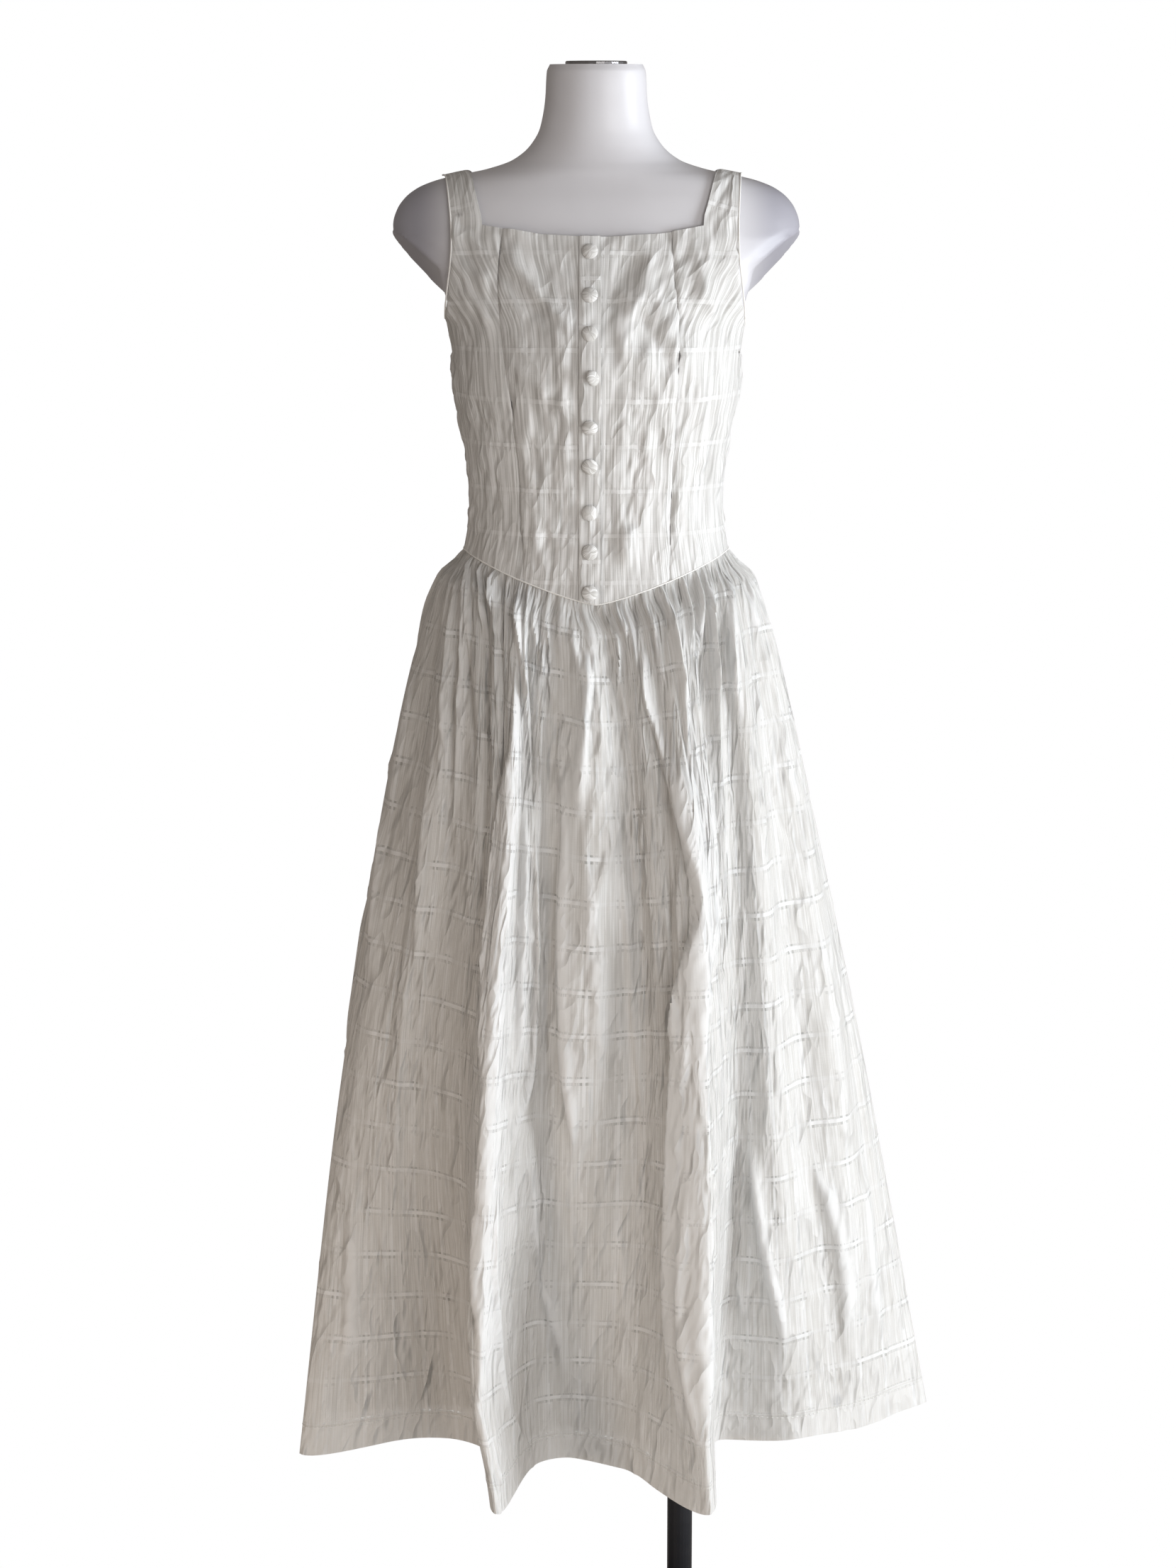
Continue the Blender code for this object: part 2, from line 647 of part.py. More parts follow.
def fold_plan(fold, top, down):
    """Where a fold line passes at a share of the way down, in plan."""
    hip_down = (WAIST_SIDE - HIP_HEIGHT) / (WAIST_SIDE - SKIRT_HEM)
    mid_down = (WAIST_SIDE - MID_HEIGHT) / (WAIST_SIDE - SKIRT_HEM)
    low_down = (WAIST_SIDE - LOW_HEIGHT) / (WAIST_SIDE - SKIRT_HEM)
    hip = Vector((fold.hip_x, fold.hip_y))
    mid = Vector((fold.mid_x, fold.mid_y))
    hem = Vector((fold.hem_x, fold.hem_y))
    if down <= hip_down:
        return top.lerp(hip, (down / hip_down) ** PUFF_POWER)
    slope_hip = (hip - top) * (PUFF_POWER / hip_down)
    slope_mid = (hem - hip) / (1 - hip_down)
    slope_hem = (hem - mid) / (1 - mid_down)
    if down <= mid_down:
        start, end, a, b, from_down, to_down = hip, mid, slope_hip, slope_mid, hip_down, mid_down
    else:
        start, end, a, b, from_down, to_down = mid, hem, slope_mid, slope_hem, mid_down, 1.0
    step = to_down - from_down
    t = (down - from_down) / step
    place = (
        start * (2 * t**3 - 3 * t**2 + 1)
        + a * step * (t**3 - 2 * t**2 + t)
        + end * (3 * t**2 - 2 * t**3)
        + b * step * (t**3 - t**2)
    )
    lean = fold.lean * math.exp(-(((down - low_down) / 0.13) ** 2))
    return place + Vector((lean, 0))


def gather_wave(panel_share, down):
    """How far the gathers and the softer drapes below them push the cloth out."""
    gather = math.cos(2 * math.pi * GATHERS_PER_PANEL * panel_share)
    uneven = 1 + 0.35 * math.sin(2 * math.pi * 5.3 * panel_share + 1.1)
    rise = 0.0008 + 0.0024 * smooth_step(down / 0.03)
    fade = 1 - smooth_step((down - 0.06) / 0.34)
    drape = math.sin(2 * math.pi * DRAPES_PER_PANEL * panel_share + 0.7)
    swell = 0.0045 * smooth_step(down / 0.12) * (1 - smooth_step((down - 0.25) / 0.45))
    return gather * uneven * rise * fade + drape * swell


def skirt_ring(down, start, end, columns, shares, seam_share):
    """The cloth's middle points at a share of the way down, with its direction along each."""
    tops = [waist_point(waist_angle(share, seam_share)) for share in shares]
    places = [fold_plan(f, top.xy, down) for f, top in zip(FOLDS, tops)]
    ring = []
    for j in range(columns + 1):
        panel_share = j / columns
        at = mix(start, end, panel_share)
        top = waist_point(waist_angle(at, seam_share))
        place = curve_through(places, shares, at)
        along = curve_through(places, shares, at + 0.001) - curve_through(places, shares, at - 0.001)
        along.normalize()
        place = top.xy.lerp(place, smooth_step(down / 0.03))
        at_seam = min(panel_share, 1 - panel_share) * GATHERS_PER_PANEL
        wave = gather_wave(panel_share, down) * smooth_step(at_seam)
        place += Vector((along.y, -along.x)) * wave
        if j == 0:
            place += along * 0.75 * GAP
        if j == columns:
            place -= along * 0.75 * GAP
        height = mix(top.z, SKIRT_HEM, down)
        ring.append((Vector((place.x, place.y, height)), Vector((along.x, along.y, 0))))
    return ring


def wall_pairs(rings, thick):
    """(outer, inner) points on each side of rings of middle points, mitred, with their ends square to the ring."""
    pairs = {}
    last_row, last_column = len(rings) - 1, len(rings[0]) - 1
    for i, ring in enumerate(rings):
        for j, (place, along) in enumerate(ring):
            down = rings[min(i + 1, last_row)][j][0] - rings[max(i - 1, 0)][j][0]
            sides = [down.cross(along).normalized()]
            if 0 < j < last_column:
                sides = [down.cross(ring[j + k][0] - ring[j + k - 1][0]).normalized() for k in (0, 1)]
            normal = sum(sides, Vector((0, 0, 0)))
            if i in (0, last_row):
                normal.z = 0
            normal.normalize()
            half = thick / 2 / max(0.62, normal.dot(sides[0]))
            pairs[i, j] = (place + normal * half, place - normal * half)
    return pairs


def reach(outline, turn):
    """How far out from the middle the outline is, in one direction of the plan."""
    far = Vector((math.cos(turn), math.sin(turn)))
    hits = []
    for a, b in zip(outline, outline[1:] + outline[:1]):
        hit = intersect_line_line_2d(Vector((0, 0)), far, a, b)
        if hit is not None:
            hits.append(hit.length)
    return min(hits)


def lining_ring(down, outline, tops):
    """A smoother ring inside the skirt's outline: the nearest cloth within a margin, less a gap."""
    turns = [math.atan2(top.y + math.copysign(1e-6, tops[1].y), top.x) for top in tops]
    ring = []
    for j, top in enumerate(tops):
        sides = (turns[max(j - 1, 0)], turns[min(j + 1, len(turns) - 1)])
        half = max(abs(math.remainder(turns[j] - side, 2 * math.pi)) for side in sides) / 2
        spread = [turns[j] + (half + LINING_MARGIN) * k / 3 for k in range(-3, 4)]
        clear = mix(LINING_INSIDE, LINING_CLEAR, smooth_step(down / 0.06))
        near = min(reach(outline, turn) for turn in spread) - clear
        radius = mix(top.xy.length, near, smooth_step(down / 0.014))
        place = Vector((math.cos(turns[j]), math.sin(turns[j]))) * radius
        ring.append(Vector((place.x, place.y, mix(top.z, SKIRT_HEM, down))))
    return ring


def add_skirt(cotton, lining_cloth):
    shares = fold_shares()
    seam_share = shares[LEFT_SEAM_FOLD]
    columns = GATHERS_PER_PANEL * COLUMNS_PER_GATHER
    panels = (("front", 0.0, seam_share, -1), ("back", seam_share, 1.0, 1))
    for name, start, end, _ in panels:
        rings = [skirt_ring(down, start, end, columns, shares, seam_share) for down in SKIRT_ROWS]
        cells = grid_cells(len(SKIRT_ROWS) - 1, columns)
        add_wall("skirt_" + name, wall_pairs(rings, SKIRT_CLOTH), cells, cotton)
    outlines = []
    for down in LINING_ROWS:
        outline = []
        for _, start, end, _ in panels:
            ring = skirt_ring(down, start, end, columns, shares, seam_share)
            outline += [place.xy for place, _ in ring]
        outlines.append(outline)
    for name, _, _, way in panels:
        angles = [math.pi * k / LINING_COLUMNS + (math.pi if way < 0 else 0) for k in range(LINING_COLUMNS + 1)]
        tops = [waist_point(angle, LINING_INSIDE) for angle in angles]
        rings = []
        for down, outline in zip(LINING_ROWS, outlines):
            ring = lining_ring(down, outline, tops)
            for end in (0, -1):
                ring[end].y = way * 0.6 * GAP
            rings.append([(place, Vector((0, way * (1 if j == 0 else -1), 0))) for j, place in enumerate(ring)])
        cells = grid_cells(len(LINING_ROWS) - 1, LINING_COLUMNS)
        add_wall("lining_" + name, wall_pairs(rings, CLOTH), cells, lining_cloth)


def build():
    for obj in list(bpy.data.objects):
        bpy.data.objects.remove(obj)
    steel = make_material("black_steel", (0.018, 0.018, 0.022), 0.42, 0.6)
    plastic = make_material("form_plastic", (0.76, 0.75, 0.78), 0.38)
    dark = make_material("cap_steel", (0.30, 0.29, 0.30), 0.35, 0.8)
    cotton = make_material("ivory_cotton", (0.86, 0.83, 0.76), 0.75)
    lining_cloth = make_material("lining_cotton", (0.84, 0.81, 0.74), 0.8)
    covered = make_material("covered_button", (0.87, 0.84, 0.78), 0.7)

    add_stand(steel)
    add_form(plastic)
    cap = ((0, 0), (NECK_CAP_RADIUS, 0), (NECK_CAP_RADIUS, NECK_CAP_THICK - 0.001),
           (NECK_CAP_RADIUS - 0.001, NECK_CAP_THICK), (0, NECK_CAP_THICK))
    add_turned("neck_cap", cap, Vector((0, 0, NECK_TOP + GAP)), dark, 24)
    for side in SIDES:
        add_front_panel(side, 5 if side.name == "right" else 4, cotton)
        add_side_front(side, cotton)
        add_back_panel(side, cotton)
    add_buttons(add_button_band(cotton), covered)
    add_skirt(cotton, lining_cloth)


build()
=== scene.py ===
import math
import random
from collections import namedtuple

import bmesh
import bpy
import numpy as np
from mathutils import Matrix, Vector


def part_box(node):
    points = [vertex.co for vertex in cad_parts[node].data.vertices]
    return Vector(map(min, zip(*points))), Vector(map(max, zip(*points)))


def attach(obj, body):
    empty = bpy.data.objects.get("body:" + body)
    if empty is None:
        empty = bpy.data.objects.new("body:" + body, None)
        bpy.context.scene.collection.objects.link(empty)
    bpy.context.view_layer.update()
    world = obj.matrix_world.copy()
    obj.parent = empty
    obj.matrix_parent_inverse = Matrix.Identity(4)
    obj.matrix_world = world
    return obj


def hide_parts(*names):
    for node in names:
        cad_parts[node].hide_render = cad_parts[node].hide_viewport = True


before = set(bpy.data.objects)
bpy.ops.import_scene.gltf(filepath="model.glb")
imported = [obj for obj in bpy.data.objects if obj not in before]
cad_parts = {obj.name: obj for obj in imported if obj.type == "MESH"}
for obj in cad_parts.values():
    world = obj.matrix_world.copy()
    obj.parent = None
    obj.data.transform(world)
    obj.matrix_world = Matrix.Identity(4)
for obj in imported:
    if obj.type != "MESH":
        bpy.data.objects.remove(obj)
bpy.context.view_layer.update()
print("frame loaded:", len(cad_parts), "nodes")

# ---- sizes shared with the solids, in metres ----
gap = 0.0003
clothOff = 0.0006
waist = {"side": 1.190, "drop": 0.043, "half": 0.120, "power": 1.25}
neck = {"front": 1.498, "back": 1.500}
strapFoot = 1.515
shoulderSeamY = 0.004
frontJoinX = -0.006
skirtHem = 0.278
sectionPower = 2.2
armCut = {"x": 0.196, "top": 1.497, "backward": 0.314, "slope": 0.971, "least": 0.1385, "leastHeight": 1.396,
          "leastSlope": 0.18, "softLow": 0.012, "softHigh": 0.0008, "softFrom": 1.438, "from": 1.385, "to": 1.510}


# rows given in millimetres, kept in metres
def inMetres(kind, rows):
    return tuple(kind(*(value / 1000 for value in row)) for row in rows)


# a line given in millimetres: x and z of each point in turn
def linePath(*numbers):
    return tuple((x / 1000, z / 1000) for x, z in zip(numbers[::2], numbers[1::2]))


Section = namedtuple("Section", "height halfWidth front back")
formSections = inMetres(Section, (
    (860, 150, 98, 110), (910, 161, 104, 119), (970, 168, 108, 124), (1040, 165, 108, 120), (1110, 148, 102, 100),
    (1170, 127, 92, 82), (1235, 116.5, 84, 72), (1280, 119.5, 88, 76), (1320, 126, 98, 84), (1352, 132.5, 111, 90),
    (1385, 135, 117, 93), (1412, 139.5, 111, 93), (1436, 156, 103, 92), (1449, 167, 98, 90.5),
    (1462, 175, 93, 88.5), (1476, 188, 87.5, 86.5), (1488, 195, 83, 84), (1499, 199, 79, 82), (1512, 198, 74, 79),
    (1524, 194, 70, 76.5), (1535, 186, 66, 73), (1544, 174, 62, 69), (1551, 157, 59, 66), (1556, 137, 57, 63.5),
    (1562, 107, 55, 61), (1571, 81, 51.5, 58), (1585, 64, 48, 54.5), (1602, 54.5, 46, 52), (1630, 49.5, 45.5, 50),
    (1655, 48, 45, 48.5), (1662, 45, 42, 45.5),
))
Ease = namedtuple("Ease", "height off")
easeRows = (Ease(1.140, 0.0080), Ease(1.235, 0.0080), Ease(1.385, 0.0075), Ease(1.450, 0.0065),
            Ease(1.515, 0.0038), Ease(1.540, 0.0026), Ease(1.560, 0.0022))
Princess = namedtuple("Princess", "height right left")
princessRows = (Princess(1.140, 0.068, 0.068), Princess(1.220, 0.069, 0.069), Princess(1.320, 0.076, 0.072),
                Princess(1.410, 0.088, 0.076), Princess(1.460, 0.093, 0.074), Princess(1.520, 0.088, 0.071))
Side = namedtuple("Side", "name way underarmShare strapFootIn strapFootOut strapTopIn strapTopOut")
sides = (Side("right", -1, 0.70, 0.108, 0.1385, 0.1280, 0.1490),
         Side("left", 1, 0.615, 0.101, 0.1355, 0.1235, 0.1410))
Armhole = namedtuple("Armhole", "share front back")
armholeRows = (Armhole(0.00, 0.1440, 0.1440), Armhole(0.18, 0.1405, 0.1385), Armhole(0.45, 0.1375, 0.1325),
               Armhole(0.75, 0.1360, 0.1325), Armhole(1.00, 0.1370, 0.1370))

# the skirt's fold lines: right side seam, front, left side seam, back
Fold = namedtuple("Fold", "hipX hipY midX midY hemX hemY lean")
foldHeights = {"hip": 1.020, "mid": 0.650, "low": 0.420}
folds = inMetres(Fold, (
    (-196, -10, -258, -35, -301, -90, 0), (-170, -72, -222, -88, -236, -77, 0),
    (-134, -112, -166, -112, -152, -47, 0), (-110, -132, -131, -146, -115, -82, 0),
    (-84, -158, -107, -222, -94, -256, -18), (-50, -146, -56, -168, -60, -130, -6),
    (-16, -160, -22, -184, -24, -102, 0), (28, -150, 38, -166, 26, -136, 0), (52, -152, 68, -188, 62, -192, 0),
    (80, -158, 107, -222, 114, -254, -6), (117, -121, 137, -128, 124, -56, 0), (144, -112, 176, -132, 200, -60, 0),
    (163, -86, 207, -90, 248, -34, 0), (183, -62, 242, -74, 277, -14, 0), (191, -34, 262, -28, 306, 8, 0),
    (197, 6, 276, 22, 348, 56, 0), (172, 80, 222, 96, 248, 98, 0), (142, 128, 192, 186, 210, 228, 0),
    (100, 138, 122, 164, 132, 156, 0), (52, 166, 62, 222, 60, 262, 8), (0, 156, -2, 180, -6, 176, 0),
    (-56, 166, -68, 220, -72, 258, -8), (-102, 138, -126, 162, -136, 150, 0), (-146, 124, -194, 182, -216, 220, 0),
    (-178, 72, -226, 86, -254, 90, 0),
))
leftSeamFold = 15
puffPower = 0.56


# ---- numbers ----
def mix(a, b, t):
    return a + (b - a) * t


def smoothStep(t):
    t = np.clip(t, 0.0, 1.0)
    return t * t * (3 - 2 * t)


def unit(v):
    return v / np.maximum(np.linalg.norm(v, axis=-1, keepdims=True), 1e-12)


# square to a direction in plan, to its right
def rightOf(along):
    return np.stack([along[..., 1], -along[..., 0]], -1)


# the lengths of the steps along a line, or along the lines of a grid
def stepLengths(points, axis=0):
    return np.linalg.norm(np.diff(points, axis=axis), axis=-1)


# a rounded ridge across a line: 1 on it, and nearly 0 past its width
def ridge(far, power=2):
    return np.exp(-(np.abs(far) ** power))


# a cubic from one value and slope to the next, as t runs from 0 to 1
def cubic(start, startSlope, end, endSlope, t):
    return (start * (2 * t**3 - 3 * t**2 + 1) + startSlope * (t**3 - 2 * t**2 + t)
            + end * (3 * t**2 - 2 * t**3) + endSlope * (t**3 - t**2))


# a table of named columns, read anywhere on a smooth curve that never overshoots its rows
class SizeTable:
    def __init__(self, rows, key="height"):
        self.at = np.array([getattr(row, key) for row in rows])
        self.rows = rows

    def read(self, column, x):
        y = np.array([getattr(row, column) for row in self.rows])
        run = np.diff(self.at)
        rise = np.diff(y) / run
        before, after = rise[:-1], rise[1:]
        level = before * after <= 0
        slope = np.concatenate([rise[:1], np.where(level, 0, 2 * before * after / np.where(level, 1, before + after)),
                                rise[-1:]])
        x = np.clip(x, self.at[0], self.at[-1])
        i = np.clip(np.searchsorted(self.at, x, side="right") - 1, 0, len(run) - 1)
        t = (x - self.at[i]) / run[i]
        return cubic(y[i], slope[i] * run[i], y[i + 1], slope[i + 1] * run[i], t)


formTable = SizeTable(formSections)
easeTable = SizeTable(easeRows)
princessTable = SizeTable(princessRows)
armholeTable = SizeTable(armholeRows, "share")


# ---- the form's surface ----
def formPoint(angle, height):
    angle, height = np.broadcast_arrays(np.asarray(angle, float), np.asarray(height, float))
    wide = formTable.read("halfWidth", height)
    deep = np.where(np.sin(angle) < 0, formTable.read("front", height), formTable.read("back", height))
    x = wide * np.abs(np.cos(angle)) ** (2 / sectionPower)
    y = np.copysign(deep * np.abs(np.sin(angle)) ** (2 / sectionPower), np.sin(angle))
    plane = armCut["x"] + armCut["backward"] * y + armCut["slope"] * (height - armCut["top"])
    limit = np.maximum(plane, armCut["least"] + armCut["leastSlope"] * (height - armCut["leastHeight"]))
    blend = mix(armCut["softLow"], armCut["softHigh"], smoothStep((height - armCut["softFrom"]) / 0.02))
    h = np.clip(0.5 + 0.5 * (limit - x) / blend, 0, 1)
    x = np.where((height > armCut["from"]) & (height < armCut["to"]), mix(limit, x, h) - blend * h * (1 - h), x)
    return np.stack([np.copysign(x, np.cos(angle)), y, height], -1)


def formNormal(angle, height):
    across = formPoint(angle + 0.01, height) - formPoint(angle - 0.01, height)
    up = formPoint(angle, height + 0.0005) - formPoint(angle, height - 0.0005)
    return unit(np.cross(across, up))


def angleOf(x, height, back=False):
    wide = formTable.read("halfWidth", height)
    turn = np.arccos(np.clip(np.abs(x) / wide, 0, 1) ** (sectionPower / 2))
    turn = np.where(np.asarray(x) < 0, math.pi - turn, turn)
    return turn if back else -turn


def clothPoint(angle, height, out=0.0):
    off = easeTable.read("off", height) + clothOff + out
    return formPoint(angle, height) + formNormal(angle, height) * off[..., None]


def frontWaist(x):
    return waist["side"] - waist["drop"] * (1 - np.minimum(1.0, np.abs(x) / waist["half"]) ** waist["power"])


def frontNeck(x):
    return neck["front"] + 0.008 * (x / 0.09) ** 2


# where a strap's line at x has turned this far up from its foot to the shoulder seam
def onShoulder(x, turn, back):
    near, far = np.zeros_like(x), np.full_like(x, 0.12)
    way = 1 if back else -1
    for _ in range(40):
        middle = (near + far) / 2
        y = shoulderSeamY + middle * math.cos(turn) * way
        height = strapFoot + middle * math.sin(turn)
        wide = formTable.read("halfWidth", height)
        deep = np.where(y > 0, formTable.read("back", height), formTable.read("front", height))
        share = np.clip(1 - (np.abs(x) / wide) ** sectionPower, 0, 1)
        inside = (np.abs(x) < wide) & (deep * share ** (1 / sectionPower) > np.abs(y))
        near, far = np.where(inside, middle, near), np.where(inside, far, middle)
    height = strapFoot + near * math.sin(turn)
    y = shoulderSeamY + near * math.cos(turn) * way
    return np.where(y > 0, angleOf(x, height, True), angleOf(x, height, False)), height


# ---- finishes: shader sums written as plain expressions ----
class Wire:
    def __init__(self, finish, socket):
        self.finish, self.socket = finish, socket

    def sum(self, operation, *values):
        return self.finish.add("ShaderNodeMath", {"operation": operation}, dict(enumerate(values)))

    def within(self, low, high):  # rises smoothly from 0 at low to 1 at high
        return self.finish.add("ShaderNodeMapRange", {"interpolation_type": "SMOOTHSTEP"},
                               {"Value": self, "From Min": low, "From Max": high})


for sign, operation in (("add", "ADD"), ("sub", "SUBTRACT"), ("mul", "MULTIPLY"), ("truediv", "DIVIDE")):
    setattr(Wire, "__%s__" % sign, lambda self, other, kind=operation: self.sum(kind, self, other))
    setattr(Wire, "__r%s__" % sign, lambda self, other, kind=operation: self.sum(kind, other, self))
for method, operation in (("fraction", "FRACT"), ("size", "ABSOLUTE"), ("most", "MAXIMUM"), ("least", "MINIMUM")):
    setattr(Wire, method, lambda self, *others, kind=operation: self.sum(kind, self, *others))


class Finish:
    def __init__(self, name):
        self.material = bpy.data.materials.new(name)
        self.material.use_nodes = True
        self.tree = self.material.node_tree
        self.shader = self.tree.nodes["Principled BSDF"]
        self.output = self.tree.nodes["Material Output"]

    # any node: its type, its settings, and the values or links of its sockets
    def add(self, kind, settings=None, sockets=None, output=0):
        node = self.tree.nodes.new(kind)
        for key, value in (settings or {}).items():
            setattr(node, key, value)
        self.plug(node, sockets or {})
        return Wire(self, node.outputs[output])

    def plug(self, node, sockets):
        for key, value in sockets.items():
            socket = node.inputs[key]
            if isinstance(value, Wire):
                self.tree.links.new(value.socket, socket)
            else:
                socket.default_value = value

    def colour(self, factor, first, second):
        sockets = {0: factor, 6: first if isinstance(first, Wire) else (*first, 1),
                   7: second if isinstance(second, Wire) else (*second, 1)}
        return self.add("ShaderNodeMix", {"data_type": "RGBA"}, sockets, output=2)

    def noise(self, place, scale, detail=2.0, rough=0.5):
        return self.add("ShaderNodeTexNoise", {}, {"Vector": place, "Scale": scale, "Detail": detail,
                                                   "Roughness": rough})

    def point(self, x, y, z=0.0):
        return self.add("ShaderNodeCombineXYZ", {}, {0: x, 1: y, 2: z})

    def split(self, place):
        parts = self.tree.nodes.new("ShaderNodeSeparateXYZ")
        self.tree.links.new(place.socket, parts.inputs[0])
        return [Wire(self, output) for output in parts.outputs]

    def bump(self, height, strength, distance, under=None):
        sockets = {"Height": height, "Strength": strength, "Distance": distance}
        return self.add("ShaderNodeBump", {}, {**sockets, "Normal": under} if under else sockets)


# sheer woven cotton: an upright slub, a windowpane check of thick threads, and open gaps beside them
gauze = {
    "cellWide": 0.034, "cellTall": 0.045, "ribHalf": 0.0014, "bandHalf": 0.0018,
    "gapAbove": 0.0040, "gapBelow": 0.0048,
    "pale": (0.955, 0.952, 0.944), "deep": (0.880, 0.872, 0.852), "thread": (0.972, 0.971, 0.966),
    # the colour laid into fold troughs is painted shade
    "troughShade": (0.68, 0.65, 0.60), "gap": (0.66, 0.64, 0.60), "hemEdge": (0.70, 0.68, 0.64),
    "glow": (0.965, 0.958, 0.940), "relief": 0.55, "reliefDeep": 0.0007, "crushDeep": 0.0042,
    "roughness": 0.58, "sheen": 0.16, "crushWide": 34.0, "crushTall": 13.0,
}


def makeGauze(name, cover, slub, check, gaps, through, crushed=0.5, deep=gauze["deep"], hemFrom=None, mark=None):
    cloth = Finish(name)
    across, down = cloth.split(cloth.add("ShaderNodeUVMap", {"uv_map": "cut"}))[:2]

    def grain(wide, tall, detail, rough):
        return cloth.noise(cloth.point(across * wide, down * tall), 1.0, detail, rough)

    # upright streaks in two sizes, the cross threads, and a soft cloudiness
    coarse, fine = grain(280, 5.5, 1.0, 0.6), grain(720, 14, 1.0, 0.55)
    weft, cloud = grain(90, 1500, 0.0, 0.5), grain(12, 9, 1.0, 0.6)
    # the fold attribute: how far the skirt's cloth stands out (+) or sinks (-); it sets opacity, and it also paints
    # light: a painted highlight on crests and painted shade in troughs
    fold = cloth.add("ShaderNodeAttribute", {"attribute_name": "fold"}, {}, output=2)
    streak = (coarse * 0.45 + fine * 0.55).within(0.36, 0.66)
    # the check: distance from the nearest upright rib and the nearest cross band
    wander = (cloud - 0.5) * 0.0016
    u = ((across + wander) / gauze["cellWide"] + 0.5).fraction() - 0.5
    v = ((down + wander) / gauze["cellTall"] + 0.5).fraction() - 0.5
    fromRib = u.size() * gauze["cellWide"]
    fromBand = v * gauze["cellTall"]
    rib = 1 - fromRib.within(gauze["ribHalf"], gauze["ribHalf"] + 0.0006)
    band = 1 - fromBand.size().within(gauze["bandHalf"], gauze["bandHalf"] + 0.0005)
    above = fromBand.within(-gauze["gapAbove"] - 0.0004, -gauze["gapAbove"] + 0.0002)
    below = 1 - fromBand.within(gauze["gapBelow"] - 0.0002, gauze["gapBelow"] + 0.0005)
    gapPart = (above * below * (1 - band)).most(0.0)
    dashes = fine.within(0.42, 0.56)
    beside = (1 - fromRib.within(0.0036, 0.0052)) * fromRib.within(0.0012, 0.0020)
    patches = grain(22, 30, 0.0, 0.5).within(0.46, 0.60)
    hole = gapPart * (dashes * patches * 0.50).most(beside * (0.35 + patches * 0.55))
    raised = rib.most(band) * (0.40 + patches * 0.60)
    # crushed cotton: sharp small creases, some longer than others
    slant = cloth.point(across * gauze["crushWide"] + down * 6, down * gauze["crushTall"])
    crush = cloth.noise(slant, 1.0, 2.0, 0.62)
    crease = 1 - ((crush - 0.5).size() * 5).least(1.0)
    # colour: pale where threads bunch, deeper where they thin out
    tone = cloth.colour(streak * slub + (1 - slub) * 0.5, deep, gauze["pale"])
    for share, other in (
        (cloud.within(0.35, 0.75) * 0.20, deep), (fine.within(0.58, 0.70) * 0.6, gauze["thread"]),
        # from the fold attribute: crests painted paler with the thread colour, partly the denser cloth of a pleat and
        # partly a painted highlight; troughs painted darker as painted shade
        (fold.within(0.15, 0.9) * 0.8, gauze["thread"]), ((0 - fold).within(0.1, 1.0) * 0.45, gauze["troughShade"]),
        # painted shade: the check's open gaps are painted darker with the gap colour, standing for the shade seen
        # through them
        (raised * check, gauze["thread"]), (hole * 0.16 * check, gauze["gap"]),
    ):
        tone = cloth.colour(share, tone, other)
    opaque = cover + (streak - 0.5) * 0.16 + (weft - 0.5) * 0.05
    opaque = opaque.most(raised * check).most(fold.within(0.15, 0.75) * 0.97) - hole * gaps
    if hemFrom is not None:
        inHem = down.within(hemFrom, hemFrom + 0.0015)
        edge = 1 - (down - hemFrom).size().within(0.0006, 0.0016)
        opaque = opaque.most(inHem * (0.92 - hole * gaps * 0.5))
        tone = cloth.colour(inHem * 0.15, tone, gauze["thread"])
        tone = cloth.colour(edge * 0.5, tone, gauze["hemEdge"])
        raised = raised.most(edge * 0.8)
    if mark is not None:
        place = cloth.add("ShaderNodeTexCoord", {}, {}, output=3)
        far = cloth.add("ShaderNodeVectorMath", {"operation": "DISTANCE"}, {0: place, 1: mark["at"]}, output=1)
        spot = (1 - far.within(mark["half"] * 0.3, mark["half"])) * fine.within(0.40, 0.55)
        tone = cloth.colour(spot * 0.75, tone, mark["tone"])
    height = raised * 0.5 + fine * 0.5 + coarse * 0.4 + weft * 0.15 - hole * 0.7
    crushing = cloth.bump(crease + crush * 2.2, crushed, gauze["crushDeep"])
    normal = cloth.bump(height, gauze["relief"], gauze["reliefDeep"], crushing)
    cloth.plug(cloth.shader, {"Base Color": tone, "Roughness": gauze["roughness"] + (0.5 - streak) * 0.18,
                              "Normal": normal, "Specular IOR Level": 0.32, "Sheen Weight": gauze["sheen"],
                              "Sheen Roughness": 0.45, "Sheen Tint": (1.0, 0.99, 0.97, 1.0)})
    glow = cloth.add("ShaderNodeBsdfTranslucent", {}, {"Color": (*gauze["glow"], 1)})
    body = cloth.add("ShaderNodeMixShader", {}, {0: through, 1: Wire(cloth, cloth.shader.outputs[0]), 2: glow})
    clear = cloth.add("ShaderNodeBsdfTransparent", {}, {})
    shown = cloth.add("ShaderNodeMixShader", {}, {0: opaque.most(0.0).least(1.0), 1: clear, 2: body})
    cloth.plug(cloth.output, {"Surface": shown})
    return cloth.material


def makePlain(name, look):
    plain = Finish(name)
    place = plain.add("ShaderNodeTexCoord", {}, {}, output=3)
    broad = plain.noise(place, look["broad"], 3.0, 0.6)
    grain = plain.noise(place, look["grain"], 2.0, 0.5)
    tone = plain.colour(broad.within(0.35, 0.70) * look["vary"], look["pale"], look["deep"])
    tone = plain.colour(grain.within(0.60, 0.75) * look["speck"], tone, look["deep"])
    # the form is painted darker towards its outer sides, from 0.130 to 0.176 m out from the middle
    if "arms" in look:
        outer = plain.split(place)[0].size().within(0.130, 0.176)
        tone = plain.colour(outer * 0.9, tone, look["arms"])
    plain.plug(plain.shader, {"Base Color": tone, "Metallic": look["metallic"],
                              "Roughness": look["roughness"] + (broad - 0.5) * look["uneven"],
                              "Normal": plain.bump(grain, look["relief"], 0.0004)})
    return plain.material


